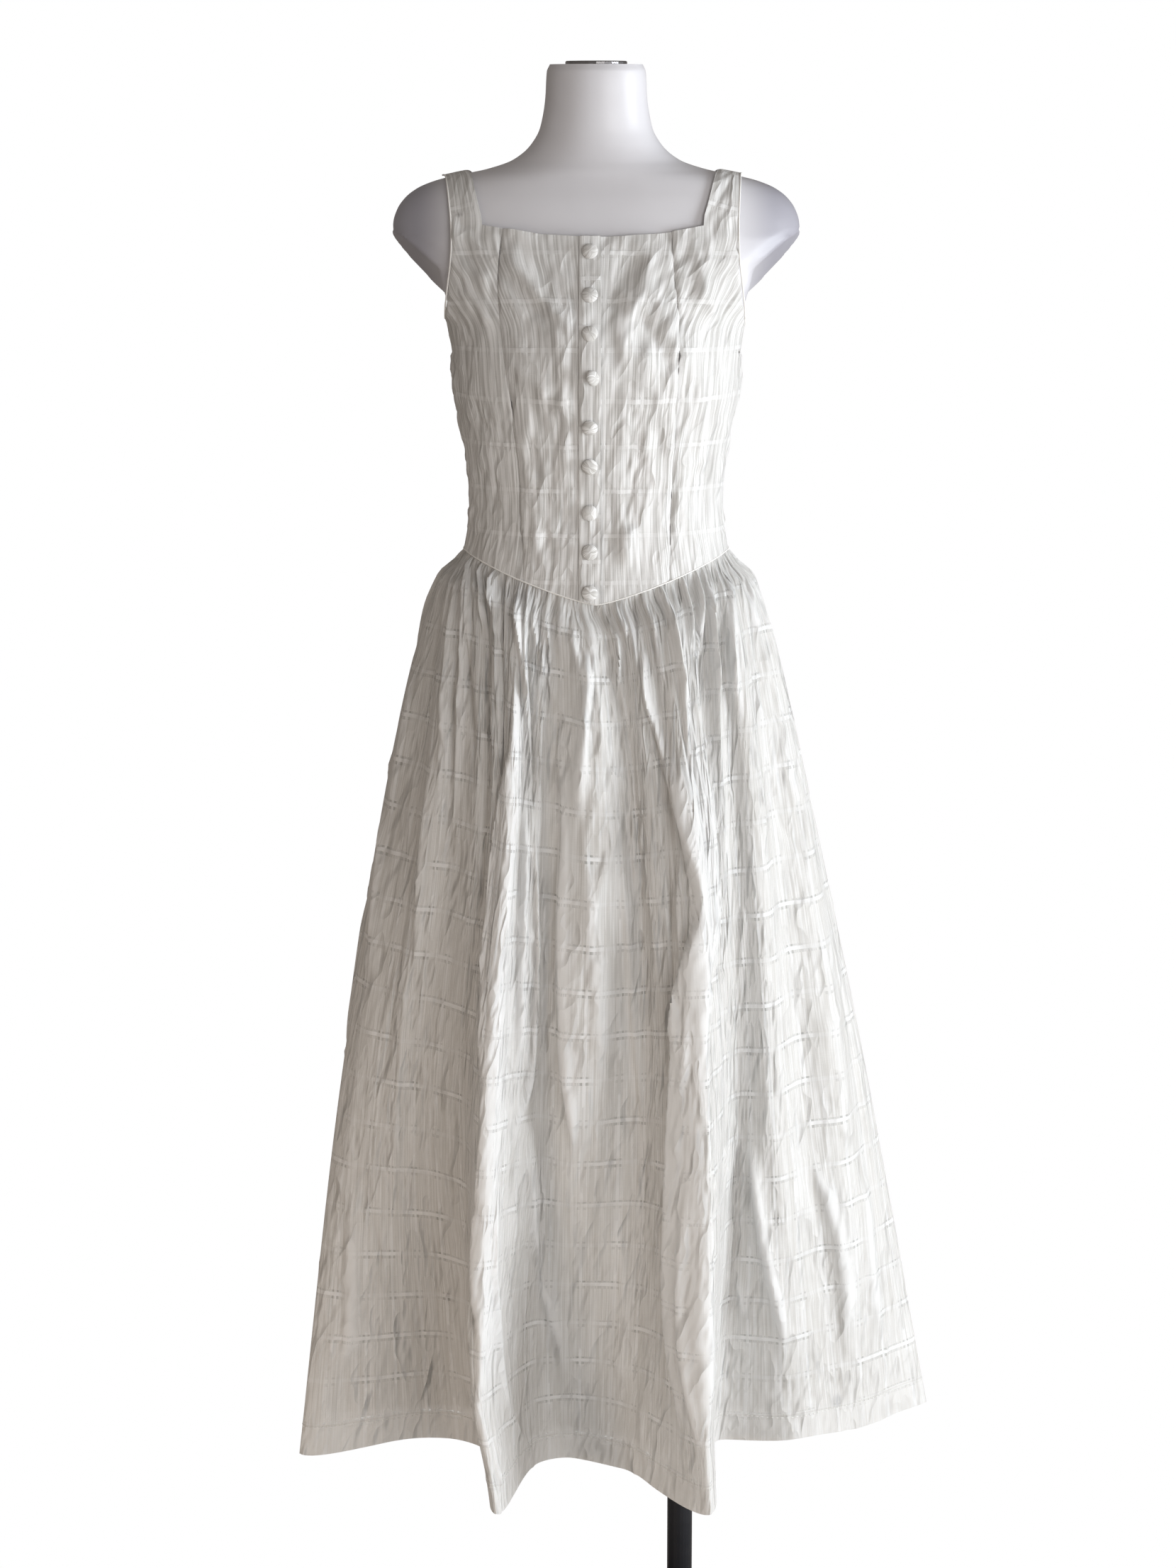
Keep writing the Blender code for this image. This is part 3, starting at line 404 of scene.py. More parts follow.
plasticLook = {"pale": (0.720, 0.712, 0.740), "deep": (0.630, 0.618, 0.640), "arms": (0.350, 0.345, 0.395),
               "roughness": 0.42, "metallic": 0.0,
               "broad": 7.0, "grain": 900.0, "vary": 0.45, "speck": 0.10, "uneven": 0.16, "relief": 0.10}
steelLook = {"pale": (0.012, 0.013, 0.017), "deep": (0.028, 0.028, 0.032), "roughness": 0.40, "metallic": 0.55,
             "broad": 14.0, "grain": 1400.0, "vary": 0.5, "speck": 0.35, "uneven": 0.20, "relief": 0.25}
capLook = {"pale": (0.330, 0.320, 0.325), "deep": (0.190, 0.185, 0.190), "roughness": 0.34, "metallic": 0.85,
           "broad": 60.0, "grain": 1500.0, "vary": 0.6, "speck": 0.30, "uneven": 0.22, "relief": 0.15}
threadLook = {"pale": (0.920, 0.910, 0.885), "deep": (0.820, 0.800, 0.760), "roughness": 0.65, "metallic": 0.0,
              "broad": 120.0, "grain": 2600.0, "vary": 0.5, "speck": 0.3, "uneven": 0.10, "relief": 0.35}

skirtGauze = makeGauze("skirtGauze", cover=0.86, slub=0.80, check=0.95, gaps=0.40, through=0.34, crushed=0.80,
                       deep=(0.830, 0.812, 0.778), hemFrom=0.0,
                       mark={"at": (0.248, -0.037, 0.313), "half": 0.010, "tone": (0.42, 0.42, 0.43)})
bodiceGauze = makeGauze("bodiceGauze", cover=0.97, slub=0.90, check=0.55, gaps=0.06, through=0.16, crushed=0.65,
                        deep=(0.630, 0.618, 0.596),
                        mark={"at": (-0.132, -0.062, 1.520), "half": 0.0042, "tone": (0.22, 0.21, 0.20)})
liningCloth = makeGauze("liningCloth", cover=0.80, slub=0.35, check=0.0, gaps=0.0, through=0.50)
buttonCloth = makeGauze("buttonCloth", cover=1.2, slub=0.8, check=0.15, gaps=0.0, through=0.05,
                        crushed=0.0, deep=(0.520, 0.505, 0.475))
formPlastic = makePlain("formPlastic", plasticLook)
standSteel = makePlain("standSteel", steelLook)
capSteel = makePlain("capSteel", capLook)
seamThread = makePlain("seamThread", threadLook)
print("finishes made")


# ---- making pieces ----
def addObject(name, data):
    made = bpy.data.objects.new(name, data)
    bpy.context.scene.collection.objects.link(made)
    return made


def addPiece(name, points, faces, material, uv=None, fold=None):
    mesh = bpy.data.meshes.new(name)
    mesh.from_pydata(np.reshape(points, (-1, 3)).tolist(), [], faces)
    if fold is not None:
        mesh.attributes.new("fold", "FLOAT", "POINT").data.foreach_set("value", np.asarray(fold, np.float32).ravel())
    if uv is not None:
        layer = mesh.uv_layers.new(name="cut")
        index = np.empty(len(mesh.loops), np.int32)
        mesh.loops.foreach_get("vertex_index", index)
        layer.data.foreach_set("uv", np.reshape(uv, (-1, 2)).astype(np.float32)[index].ravel())
    mesh.materials.append(material)
    return addObject(name, mesh)


# turns a piece's modifiers into plain mesh
def settle(piece):
    bpy.context.view_layer.update()
    graph = bpy.context.evaluated_depsgraph_get()
    done = bpy.data.meshes.new_from_object(piece.evaluated_get(graph), preserve_all_data_layers=True, depsgraph=graph)
    old = piece.data
    piece.modifiers.clear()
    piece.data = done
    bpy.data.meshes.remove(old)
    done.name = piece.name
    return piece


# a cloth wall: a sheet of points given a thickness, half to each side
def addCloth(name, points, faces, uv, thick, material, fold=None):
    piece = addPiece(name, points, faces, material, uv, fold)
    wall = piece.modifiers.new("wall", "SOLIDIFY")
    wall.thickness, wall.offset, wall.use_even_offset = thick, 0.0, False
    settle(piece)
    piece.data.shade_smooth()
    piece.data.set_sharp_from_angle(angle=math.radians(75))
    return piece


def gridFaces(rows, columns, first=0, flip=False):
    faces = []
    for i in range(rows):
        for j in range(columns):
            a = first + i * (columns + 1) + j
            b = a + columns + 1
            faces.append((a, b, b + 1, a + 1) if flip else (a, a + 1, b + 1, b))
    return faces


# the same for rows that close on themselves
def ringFaces(rows, columns):
    faces = []
    for i in range(rows):
        for k in range(columns):
            a, b = i * columns + k, i * columns + (k + 1) % columns
            faces.append((a, b, b + columns, a + columns))
    return faces


# how near each place in the plane is to a crease's line: distance, and share of the way along it
def nearLine(px, pz, path):
    path = np.asarray(path, float)
    steps = stepLengths(path)
    ends = np.concatenate([[0], np.cumsum(steps)])
    best, share = np.full(px.shape, 1e9), np.zeros(px.shape)
    for k, step in enumerate(steps):
        ax, az = path[k]
        dx, dz = (path[k + 1] - path[k]) / step
        t = np.clip((px - ax) * dx + (pz - az) * dz, 0, step)
        far = np.hypot(px - ax - dx * t, pz - az - dz * t)
        closer = far < best
        best, share = np.where(closer, far, best), np.where(closer, (ends[k] + t) / ends[-1], share)
    return best, share


def fadeEnds(share, soft=0.22):
    return smoothStep(share / soft) * smoothStep((1 - share) / soft)


# ---- the bodice ----
# a crease seen from the front: its line in x and z, how wide and how high it stands (a trough is below 0)
Crease = namedtuple("Crease", "path wide high")


# creases given in millimetres: width, height, then the line
def creaseRows(*rows):
    return tuple(Crease(linePath(*path), wide / 1000, high / 1000) for wide, high, *path in rows)


bodiceCreases = creaseRows(
    (7.5, 3.2, -92, 1493, -72, 1466, -45, 1433, -14, 1403, 2, 1386),
    (9, -1.8, -88, 1470, -60, 1436, -30, 1404),
    (9, -2.6, 43, 1493, 23, 1456, 6, 1430),
    (7, 2.8, 58, 1490, 43, 1450, 26, 1416, 14, 1384),
    (6.5, -2.2, 36, 1440, 57, 1403, 76, 1368),
    (6, 2, 46, 1462, 68, 1420, 78, 1380),
    (5, 1.6, -55, 1436, -38, 1409, -39, 1385),
    (4.5, 1.3, -40, 1425, -30, 1395, -34, 1370),
    (5, 1.4, -72, 1352, -68, 1294, -56, 1212, -45, 1171),
    (6, 1.2, -35, 1376, -28, 1322, -32, 1253),
    (6, 1.3, 26, 1349, 24, 1294, 21, 1212),
    (5.5, 1.1, 48, 1335, 50, 1280, 44, 1200),
    (6, 2.2, 29, 1228, 28, 1182),
    (5.5, 1.5, -24, 1235, -20, 1178),
    (4.5, 1.4, -60, 1222, -56, 1186),
    (5, -1.4, 10, 1262, 18, 1222),
    (6, 1.4, -118, 1500, -106, 1450, -104, 1395),
    (5, 1.2, -128, 1480, -120, 1425),
    (6, 2.2, 94, 1500, 100, 1460, 116, 1415),
    (5, 1.8, 108, 1505, 106, 1470, 94, 1430),
    (5.5, 1.2, 82, 1395, 98, 1360, 104, 1300),
)
bodice = {"rows": 76, "strapRows": 26, "thick": 0.0009, "seamDip": 0.0018, "seamSoft": 0.0016, "crumple": 90,
          "deeper": 1.8, "small": (0.0006, 0.0020), "puckerWide": 0.006, "puckerHigh": 0.00035,
          "bustHeight": 1.300, "crumpleLong": (0.015, 0.050), "least": 0.0016, "hemAllowance": 0.013}


# short soft creases, scattered over a cut by a fixed seed
def scatter(seed, count, box, size, high):
    pick = random.Random(seed)
    found = []
    for _ in range(count):
        x, y = pick.uniform(*box[0]), pick.uniform(*box[1])
        turn, length = pick.gauss(math.pi / 2, 0.55), pick.uniform(*size)
        bow = pick.uniform(-0.18, 0.18) * length
        dx, dy = math.cos(turn) * length / 2, math.sin(turn) * length / 2
        path = ((x - dx, y - dy), (x + dy * bow / length, y - dx * bow / length), (x + dx, y + dy))
        found.append(Crease(path, pick.uniform(0.0028, 0.0065), pick.uniform(*high) * pick.choice((1, 1, -1))))
    return found


def pressIn(px, pz, creases):
    moved = np.zeros(px.shape)
    for crease in creases:
        path = np.asarray(crease.path)
        room = 3 * crease.wide
        near = ((px > path[:, 0].min() - room) & (px < path[:, 0].max() + room)
                & (pz > path[:, 1].min() - room) & (pz < path[:, 1].max() + room))
        if near.any():
            far, share = nearLine(px[near], pz[near], path)
            moved[near] += crease.high * ridge(far / crease.wide, 1.7) * fadeEnds(share)
    return moved


# the cut's width coordinate runs round the body at bust height, so upright threads hang straight
roundAngles = np.linspace(-2 * math.pi, 2 * math.pi, 721)
roundPlaces = clothPoint(roundAngles, np.full(721, bodice["bustHeight"]))
roundLengths = np.concatenate([[0], np.cumsum(stepLengths(roundPlaces))])
frontMiddle = np.interp(-math.pi / 2, roundAngles, roundLengths)


def bodiceUv(angle, height):
    return np.stack([np.interp(angle, roundAngles, roundLengths) - frontMiddle + frontJoinX,
                     strapFoot - height + bodice["hemAllowance"]], -1)


# a panel's points: its body rows, then its strap rows, pressed at its seams and creased
def finishPanel(name, angle, height, strap, startSeam, endDip, seed, nodes):
    points, normals = clothPoint(angle, height), formNormal(angle, height)
    rows, columns = angle.shape[0] - 1, angle.shape[1] - 1
    uv = bodiceUv(angle, height)
    along = np.concatenate([np.zeros((rows + 1, 1)), np.cumsum(stepLengths(points, 1), axis=1)], axis=1)
    dip = ridge((along[:, -1:] - along) / bodice["seamSoft"]) * endDip
    if startSeam:
        dip += ridge(along / bodice["seamSoft"])
    moved = np.zeros(angle.shape)
    if "Back" not in name:
        moved += pressIn(points[..., 0], points[..., 2], bodiceCreases) * bodice["deeper"]
    box = ((uv[..., 0].min(), uv[..., 0].max()), (0.0, 0.33))
    small = scatter(seed, bodice["crumple"], box, bodice["crumpleLong"], bodice["small"])
    moved += pressIn(uv[..., 0], uv[..., 1], small)
    # calm under the button band, and never down onto the form
    calm = mix(0.25, 1.0, smoothStep((np.abs(points[..., 0] - frontJoinX) - 0.010) / 0.014))
    moved *= np.where(points[..., 1] < 0, calm, 1.0)
    moved = np.maximum(moved - bodice["seamDip"] * dip, bodice["least"] - easeTable.read("off", height))
    pucker = ridge(along / bodice["puckerWide"]) * np.sin(height * 520 + seed) * bodice["puckerHigh"]
    points = points + normals * (moved + pucker)[..., None]
    allPoints, allUv = points.reshape(-1, 3), uv.reshape(-1, 2)
    faces = gridFaces(rows, columns)
    if strap is not None:
        strapAngle, strapHeight, firstColumn, back = strap
        strapPoints = clothPoint(strapAngle, strapHeight)
        strapPoints[-1, :, 1] = shoulderSeamY + (0.6 if back else -0.6) * gap
        count = strapAngle.shape[1] - 1
        top = points[-1, firstColumn:]
        full = np.concatenate([top[None], strapPoints])
        rise = stepLengths(full).mean(axis=1).cumsum()
        strapUv = np.stack([np.broadcast_to(uv[-1, firstColumn:, 0], strapAngle.shape),
                            uv[-1, firstColumn:, 1][None] - rise[:, None]], -1)
        first = len(allPoints)
        allPoints = np.concatenate([allPoints, strapPoints.reshape(-1, 3)])
        allUv = np.concatenate([allUv, strapUv.reshape(-1, 2)])
        below = rows * (columns + 1) + firstColumn
        faces += [(below + j, below + j + 1, first + j + 1, first + j) for j in range(count)]
        faces += gridFaces(len(strapAngle) - 1, count, first)
    if name.endswith("Right") != ("Back" in name):
        faces = [face[::-1] for face in faces]
    piece = addCloth(name, allPoints, faces, allUv, bodice["thick"], bodiceGauze)
    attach(piece, "root")
    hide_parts(*nodes)


def princessX(side, height):
    return side.way * princessTable.read(side.name, height)


def princessHeight(side, share):
    foot = frontWaist(princessX(side, waist["side"] - 0.02))
    return mix(foot, frontNeck(princessX(side, neck["front"])), share)


def armholeAngle(side, share, back):
    part = (share - side.underarmShare) / (1 - side.underarmShare)
    x = armholeTable.read("back" if back else "front", np.clip(part, 0, 1))
    x = x + (side.strapFootOut - armholeRows[-1].front) * part
    height = mix(waist["side"], strapFoot, share)
    return np.where(part <= 0, 0.0, np.abs(angleOf(x, height, back)))


def strapGrid(side, columns, back):
    rises = np.arange(1, bodice["strapRows"] + 1) / bodice["strapRows"]
    angles, heights = [], []
    for rise in rises:
        xIn = mix(side.strapFootIn, side.strapTopIn, rise**0.75)
        xOut = mix(side.strapFootOut, side.strapTopOut, rise)
        x = side.way * mix(xIn, xOut, np.arange(columns + 1) / columns)
        angle, height = onShoulder(x, rise * math.pi / 2, back)
        angles.append(angle)
        heights.append(height)
    return np.array(angles), np.array(heights)


shares = np.linspace(0, 1, bodice["rows"] + 1)[:, None]


# the angle at a turn measured from the wearer's side
def facing(side, turn, back):
    turn = turn if side.way > 0 else math.pi - turn
    return turn if back else -turn


# a panel that carries a strap: its columns are even at its foot and parted at the strap's inner edge at its top
def strapPanel(side, inner, neckColumns, strapColumns, back):
    neckShare = neckColumns / (neckColumns + strapColumns)
    t = np.arange(neckColumns + strapColumns + 1)[None] / (neckColumns + strapColumns)
    outer = armholeAngle(side, shares, back)
    edge = np.where(outer == 0, gap / 2 / waist["half"], 0.0)
    footAngle = abs(float(angleOf(side.strapFootIn, strapFoot, back)))
    bend = (inner - footAngle) / (inner - outer)
    if not back:
        bend = mix(neckShare, bend, smoothStep((shares - 0.90) / 0.10))
    part = np.where(t <= neckShare, t / neckShare * bend, mix(bend, 1, (t - neckShare) / (1 - neckShare)))
    even = mix(t, part, shares**3)
    strap = (*strapGrid(side, strapColumns, back), neckColumns, back)
    return even, facing(side, mix(inner, outer + edge, even), back), strap


def buildFrontPanel(side, columns):
    t = np.arange(columns + 1)[None] / columns
    seamHeight = princessHeight(side, shares)
    join = frontJoinX + side.way * gap / 2
    seam = princessX(side, seamHeight) - side.way * gap / 2
    x = mix(join, seam, t)
    height = mix(mix(frontWaist(join), frontNeck(join), shares), seamHeight, t)
    height = np.where(t < 1, mix(frontWaist(x), frontNeck(x), shares), height)
    finishPanel("bodiceFront" + side.name.title(), angleOf(x, height), height, None, False, 1.0, 11 + side.way,
                ["bodice_front_" + side.name])


def buildSideFront(side):
    seamHeight = princessHeight(side, shares)
    seamX = princessX(side, seamHeight) + side.way * gap / 2
    inner = np.abs(angleOf(np.abs(seamX), seamHeight))
    even, angle, strap = strapPanel(side, inner, 12, 24, False)
    foot = waist["side"]
    for _ in range(2):
        foot = frontWaist(formPoint(angle, foot)[..., 0])
    top = mix(frontNeck(seamX), strapFoot, even)
    height = np.where(even > 0, mix(foot, top, shares), seamHeight)
    finishPanel("bodiceSideFront" + side.name.title(), angle, height, strap, True, 0.6, 21 + side.way,
                ["bodice_side_front_" + side.name])


def buildBack(side):
    centre = mix(waist["side"], neck["back"], shares)
    even, angle, strap = strapPanel(side, np.abs(angleOf(gap / 2, centre, True)), 24, 18, True)
    height = mix(centre, mix(waist["side"], strapFoot, shares), even**2)
    finishPanel("bodiceBack" + side.name.title(), angle, height, strap, True, 0.6, 31 + side.way,
                ["bodice_back_" + side.name])


for side in sides:
    buildFrontPanel(side, 30 if side.name == "right" else 28)
    buildSideFront(side)
    buildBack(side)
print("bodice panels made")

# ---- the button band, with its raised left edge ----
bandLook = {"left": -0.016, "right": 0.004, "thick": 0.0008, "columns": 14, "lift": 0.0020}


def buildBand():
    t = np.arange(bandLook["columns"] + 1)[None] / bandLook["columns"]
    x = mix(bandLook["left"], bandLook["right"], t) + 0 * shares
    height = mix(frontWaist(x), frontNeck(x), shares)
    angle = angleOf(x, height)
    crown = 0.0005 * smoothStep(np.minimum(t, 1 - t) * 9) + 0.0004 * smoothStep((t - 0.86) / 0.14)
    out = bandLook["lift"] + crown + 0.0004 * np.sin(height * 160) * np.sin(t * math.pi)
    out = out + pressIn(x, height, bodiceCreases) * 0.3
    points = clothPoint(angle, height, out)
    faces = gridFaces(bodice["rows"], bandLook["columns"])
    uv = bodiceUv(angle, height) + np.array([0.012, 0.02])
    piece = addCloth("buttonBand", points, faces, uv, bandLook["thick"], bodiceGauze)
    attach(piece, "root")
    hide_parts("button_band")


buildBand()

# ---- covered buttons ----
button = {"radius": 0.0076, "high": 0.0055, "x": -0.006, "sides": 40, "turned": 4, "turn": math.radians(48),
          "lean": (0.9, 0, 0.42), "seat": 0.0014, "pleats": 11, "pleatDeep": 0.012, "patch": 0.0105,
          "heights": (1.483, 1.442, 1.407, 1.371, 1.325, 1.284, 1.237, 1.197, 1.158)}


def buildButtons():
    arcs = [(math.cos(a), math.sin(a)) for a in np.linspace(0, math.pi / 2, 9)[:-1]]
    profile = [(button["radius"] * 0.55, 0.0), (button["radius"] * 0.90, 0.0002), (button["radius"] * 0.985, 0.0009)]
    profile += [(button["radius"] * c, button["high"] * (0.28 + 0.72 * s)) for c, s in arcs]
    for number, height in enumerate(button["heights"], 1):
        low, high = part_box("button_%d" % number)
        up = Vector(formNormal(angleOf(button["x"], height), height).tolist())
        if number == button["turned"]:
            lean = Vector(button["lean"]).normalized()
            up = (up * math.cos(button["turn"]) + lean * math.sin(button["turn"])).normalized()
        turn = Vector((0, 0, 1)).rotation_difference(up)
        seat = (low + high) / 2 - up * (button["high"] / 2 - button["seat"])
        count, spin, patch = button["sides"], 0.9 * number, (0.013 * number, 0.02 * number)
        points, uv, faces = [], [], ringFaces(len(profile) - 1, count)
        for radius, level in profile:
            for k in range(count):
                a = 2 * math.pi * k / count
                pleat = button["pleatDeep"] * math.sin(button["pleats"] * a + number)
                reach = radius * (1 + pleat * (1 - level / button["high"]))
                flat = Vector((reach * math.cos(a), reach * math.sin(a), level))
                points.append(seat + turn @ flat)
                stretch = button["patch"] * (1 - 0.55 * level / button["high"])
                uv.append((stretch * math.cos(a + spin) + patch[0], stretch * math.sin(a + spin) + patch[1]))
        for level, ring in ((0.0002, 0), (button["high"], len(profile) - 1)):
            points.append(seat + turn @ Vector((0, 0, level)))
            uv.append(patch)
            for k in range(count):
                n = (k + 1) % count
                face = (len(points) - 1, ring * count + k, ring * count + n)
                faces.append(face if ring else face[::-1])
        piece = addPiece("buttonCover%d" % number, points, faces, buttonCloth, uv)
        piece.data.shade_smooth()
        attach(piece, "root")
        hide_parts("button_%d" % number)


buildButtons()
print("band and buttons made")

# ---- the skirt ----
skirt = {"columns": 430, "rows": 112, "thick": 0.0009, "gathers": 17, "drapes": 13, "hemTurn": 0.029,
         "crumple": 260, "small": (0.0008, 0.0030), "ridgeHigh": 0.0085, "creaseHigh": 1.55, "sharpest": 0.0080,
         "ridgeWide": (0.0090, 0.0080), "reaches": (0.05, 0.08, 0.12, 0.18, 0.26, 0.34), "rowPower": 1.18,
         "swell": 0.0045, "leanReach": 0.13, "uneven": 0.22, "drift": 0.012, "crumpleLong": (0.025, 0.110),
         "ridgePower": 1.5, "softWide": (0.0055, 0.0100), "softHigh": (0.0022, 0.0048), "hemWaves": 9,
         "slopes": (2.4, 1.9, 1.5, 0.8), "steep": 1.35, "ripple": 0.0022,
         "allowance": 0.030, "cutShare": 0.71}
# pleats and creases seen on the front, their widths along the cloth
skirtCreases = creaseRows(
    (8, 5.5, -79, 1176, -75, 1134, -71, 1075, -68, 1020),
    (5.5, -3.5, -68, 1140, -65, 1075, -60, 1030, -62, 960),
    (9, 3, -60, 1171, -62, 1144, -58, 1124, -46, 1105, -42, 1083, -33, 1065, -19, 1052),
    (6, 3, -47, 1160, -45, 1122, -42, 1090),
    (6, 4, -27, 1153, -18, 1126, -16, 1095),
    (9, 6, -9, 1150, -9, 1126, -10, 1083, -15, 1035, -18, 952),
    (5, -3, 1, 1146, -2, 1104, -7, 1065, -8, 1000),
    (6, 3.5, 16, 1154, 24, 1134, 18, 1090),
    (8, 5.5, 42, 1150, 45, 1130, 45, 1091, 51, 1066, 61, 1044, 69, 1004, 79, 950),
    (10, 5, 64, 1173, 72, 1136, 75, 1104, 80, 1083, 83, 1044, 91, 990),
    (6, 4, 97, 1186, 98, 1138, 95, 1080),
    (7, 4, 107, 1182, 109, 1122, 113, 1091, 116, 1040),
    (8, 4.5, 118, 1186, 127, 1148, 130, 1095, 131, 1051, 143, 1020),
    (8, 4, 136, 1190, 146, 1161, 148, 1122, 159, 1090),
    (7, 2, -111, 1185, -122, 1165, -123, 1126, -123, 1080),
    (7, 2, -106, 1185, -106, 1161, -96, 1132, -83, 1085),
    (6, 1.8, -98, 1183, -101, 1165, -94, 1125),
    (6, -3.5, -125, 1110, -122, 1044, -117, 980),
    (6, 4, -70, 1000, -73, 898, -76, 846, -78, 819, -76, 791, -79, 741, -80, 680),
    (7, 5, -62, 980, -59, 898, -58, 824, -58, 787, -64, 731, -65, 694, -82, 655, -98, 590),
    (6, 4.2, -30, 985, -32, 916, -34, 843, -32, 713, -23, 664, -18, 590),
    (7, 3.6, -10, 970, -8, 883, -3, 824, 1, 750, 1, 650),
    (5.5, 3, 24, 980, 26, 879, 31, 826, 39, 722, 46, 664, 51, 590),
    (4.5, -3, 67, 970, 69, 879, 71, 806, 71, 650),
    (7, 4, 83, 960, 79, 874, 85, 824, 80, 777, 93, 700),
    (10, 7, 150, 640, 165, 527, 172, 484, 182, 440, 189, 405, 193, 345),
    (7, 3.5, 141, 475, 144, 440, 158, 405),
    (8, 5, 200, 620, 235, 527, 242, 493, 249, 465, 253, 423, 256, 335),
    (8, 4.5, 262, 580, 272, 518, 275, 489, 281, 430, 288, 396, 291, 340),
    (9, 5, -244, 560, -249, 430, -251, 373, -267, 335),
    (8, 4.2, -64, 660, -65, 562, -57, 489, -36, 416, -29, 330),
    (6, 3.5, -98, 620, -105, 525, -99, 416, -76, 300),
    (8, 4, -205, 1020, -212, 900, -226, 760),
    (7, 3, -160, 1000, -172, 880, -180, 740),
    (7, 3.8, 98, 640, 90, 520, 96, 400, 104, 310),
    (8, 3, 20, 560, 30, 450, 22, 340),
)
# flat pleats of the front: both edges in x and z, how far the left edge stands out, and how sharp the edges are
Ribbon = namedtuple("Ribbon", "left right high edge")
ribbons = (
    Ribbon(linePath(-76, 1142, -82, 1028, -96, 921, -106, 774, -109, 650, -117, 512, -116, 373, -105, 296),
           linePath(-66, 1142, -63, 1028, -61, 901, -59, 774, -77, 678, -82, 554, -68, 373, -66,
            303), 0.0085, 0.0060),
    Ribbon(linePath(-38, 1067, -31, 948, -33, 834, -30, 726, -24, 600),
           linePath(-20, 1067, -10, 948, -5, 809, 1, 719, 6, 600), 0.0060, 0.0060),
    Ribbon(linePath(70, 1055, 73, 988, 94, 881, 82, 787, 76, 650, 73, 512, 85, 310),
           linePath(108, 1055, 126, 988, 123, 854, 105, 787, 108, 650, 113, 443, 115, 310), 0.0160, 0.0070),
)

# how far down each row lies, closer together at the waist
skirtDowns = (np.arange(skirt["rows"] + 1) / skirt["rows"]) ** skirt["rowPower"]
hemPlan = np.array([(f.hemX, f.hemY) for f in folds])
hemSteps = np.linalg.norm(np.roll(hemPlan, -1, axis=0) - hemPlan, axis=1)
foldShares = np.concatenate([[0], np.cumsum(hemSteps)[:-1]]) / hemSteps.sum()
seamShare = foldShares[leftSeamFold]


def waistAngle(roundShare):
    front = math.pi * (1 + roundShare / seamShare) - 2 * math.pi
    return np.where(roundShare <= seamShare, front, math.pi * (roundShare - seamShare) / (1 - seamShare))


def waistPoint(angle):
    height = np.full(np.shape(angle), waist["side"])
    for _ in range(3):
        height = np.where(np.sin(angle) < 0, frontWaist(formPoint(angle, height)[..., 0]), waist["side"])
    place = clothPoint(angle, height)
    place[..., 2] -= 0.0009
    return place


def curveThrough(places, at):
    count = len(places)
    at = np.mod(at, 1.0)
    i = np.searchsorted(foldShares, at, side="right") - 1

    def share(k):
        return foldShares[k % count] + k // count

    def place(k):
        return places[k % count]

    step = (share(i + 1) - share(i))[:, None]
    t = (at - share(i))[:, None] / step
    before = (place(i + 1) - place(i - 1)) * step / (share(i + 1) - share(i - 1))[:, None]
    after = (place(i + 2) - place(i)) * step / (share(i + 2) - share(i))[:, None]
    return cubic(place(i), before, place(i + 1), after, t)


def foldPlan(fold, top, down):
    drop = waist["side"] - skirtHem
    hipDown, midDown, lowDown = [(waist["side"] - foldHeights[k]) / drop for k in ("hip", "mid", "low")]
    hip, mid, hem = [np.array(p) for p in ((fold.hipX, fold.hipY), (fold.midX, fold.midY), (fold.hemX, fold.hemY))]
    if down <= hipDown:
        return mix(top, hip, (down / hipDown) ** puffPower)
    slopeHip, slopeMid = (hip - top) * (puffPower / hipDown), (hem - hip) / (1 - hipDown)
    slopeHem = (hem - mid) / (1 - midDown)
    if down <= midDown:
        step = midDown - hipDown
        place = cubic(hip, slopeHip * step, mid, slopeMid * step, (down - hipDown) / step)
    else:
        step = 1.0 - midDown
        place = cubic(mid, slopeMid * step, hem, slopeHem * step, (down - midDown) / step)
    return place + np.array([fold.lean * math.exp(-(((down - lowDown) / skirt["leanReach"]) ** 2)), 0])


foldTops = waistPoint(waistAngle(foldShares))[:, :2]


# one level of a panel: points in plan, and the direction along the cloth
def skirtRing(down, at, tops, panelShare):
    places = np.array([foldPlan(f, top, down) for f, top in zip(folds, foldTops)])
    along = unit(curveThrough(places, at + 0.001) - curveThrough(places, at - 0.001))
    plan = mix(tops[:, :2], curveThrough(places, at), smoothStep(down / 0.03))
    swell = skirt["swell"] * smoothStep(down / 0.12) * (1 - smoothStep((down - 0.25) / 0.45))
    drape = np.sin(2 * math.pi * skirt["drapes"] * panelShare + 0.7) * swell
    drape *= smoothStep(np.minimum(panelShare, 1 - panelShare) * skirt["gathers"])
    plan = plan + rightOf(along) * drape[:, None]
    plan[0] += along[0] * 0.75 * gap
    plan[-1] -= along[-1] * 0.75 * gap
    return plan, along


# where a line seen from the front lies along the cloth at each row, taking the cloth nearest the front
def lineShares(path, plan, height, panelShare):
    path = np.asarray(path)[::-1]
    rowHeight = height.mean(axis=1)
    rows = np.where((rowHeight > path[0, 1]) & (rowHeight < path[-1, 1]))[0]
    found = []
    for i in rows:
        x = np.interp(rowHeight[i], path[:, 1], path[:, 0])
        side = plan[i, :, 0] - x
        hits = np.where(side[:-1] * side[1:] <= 0)[0]
        if len(hits):
            k = hits[np.argmin(plan[i, hits, 1])]
            t = side[k] / (side[k] - side[k + 1] + 1e-12)
            found.append((i, mix(panelShare[k], panelShare[k + 1], t)))
    if len(found) < 4:
        return None
    index, share = np.array([f[0] for f in found]), np.array([f[1] for f in found])
    share = np.convolve(np.pad(share, 3, mode="edge"), np.ones(7) / 7, mode="valid")
    return index, share


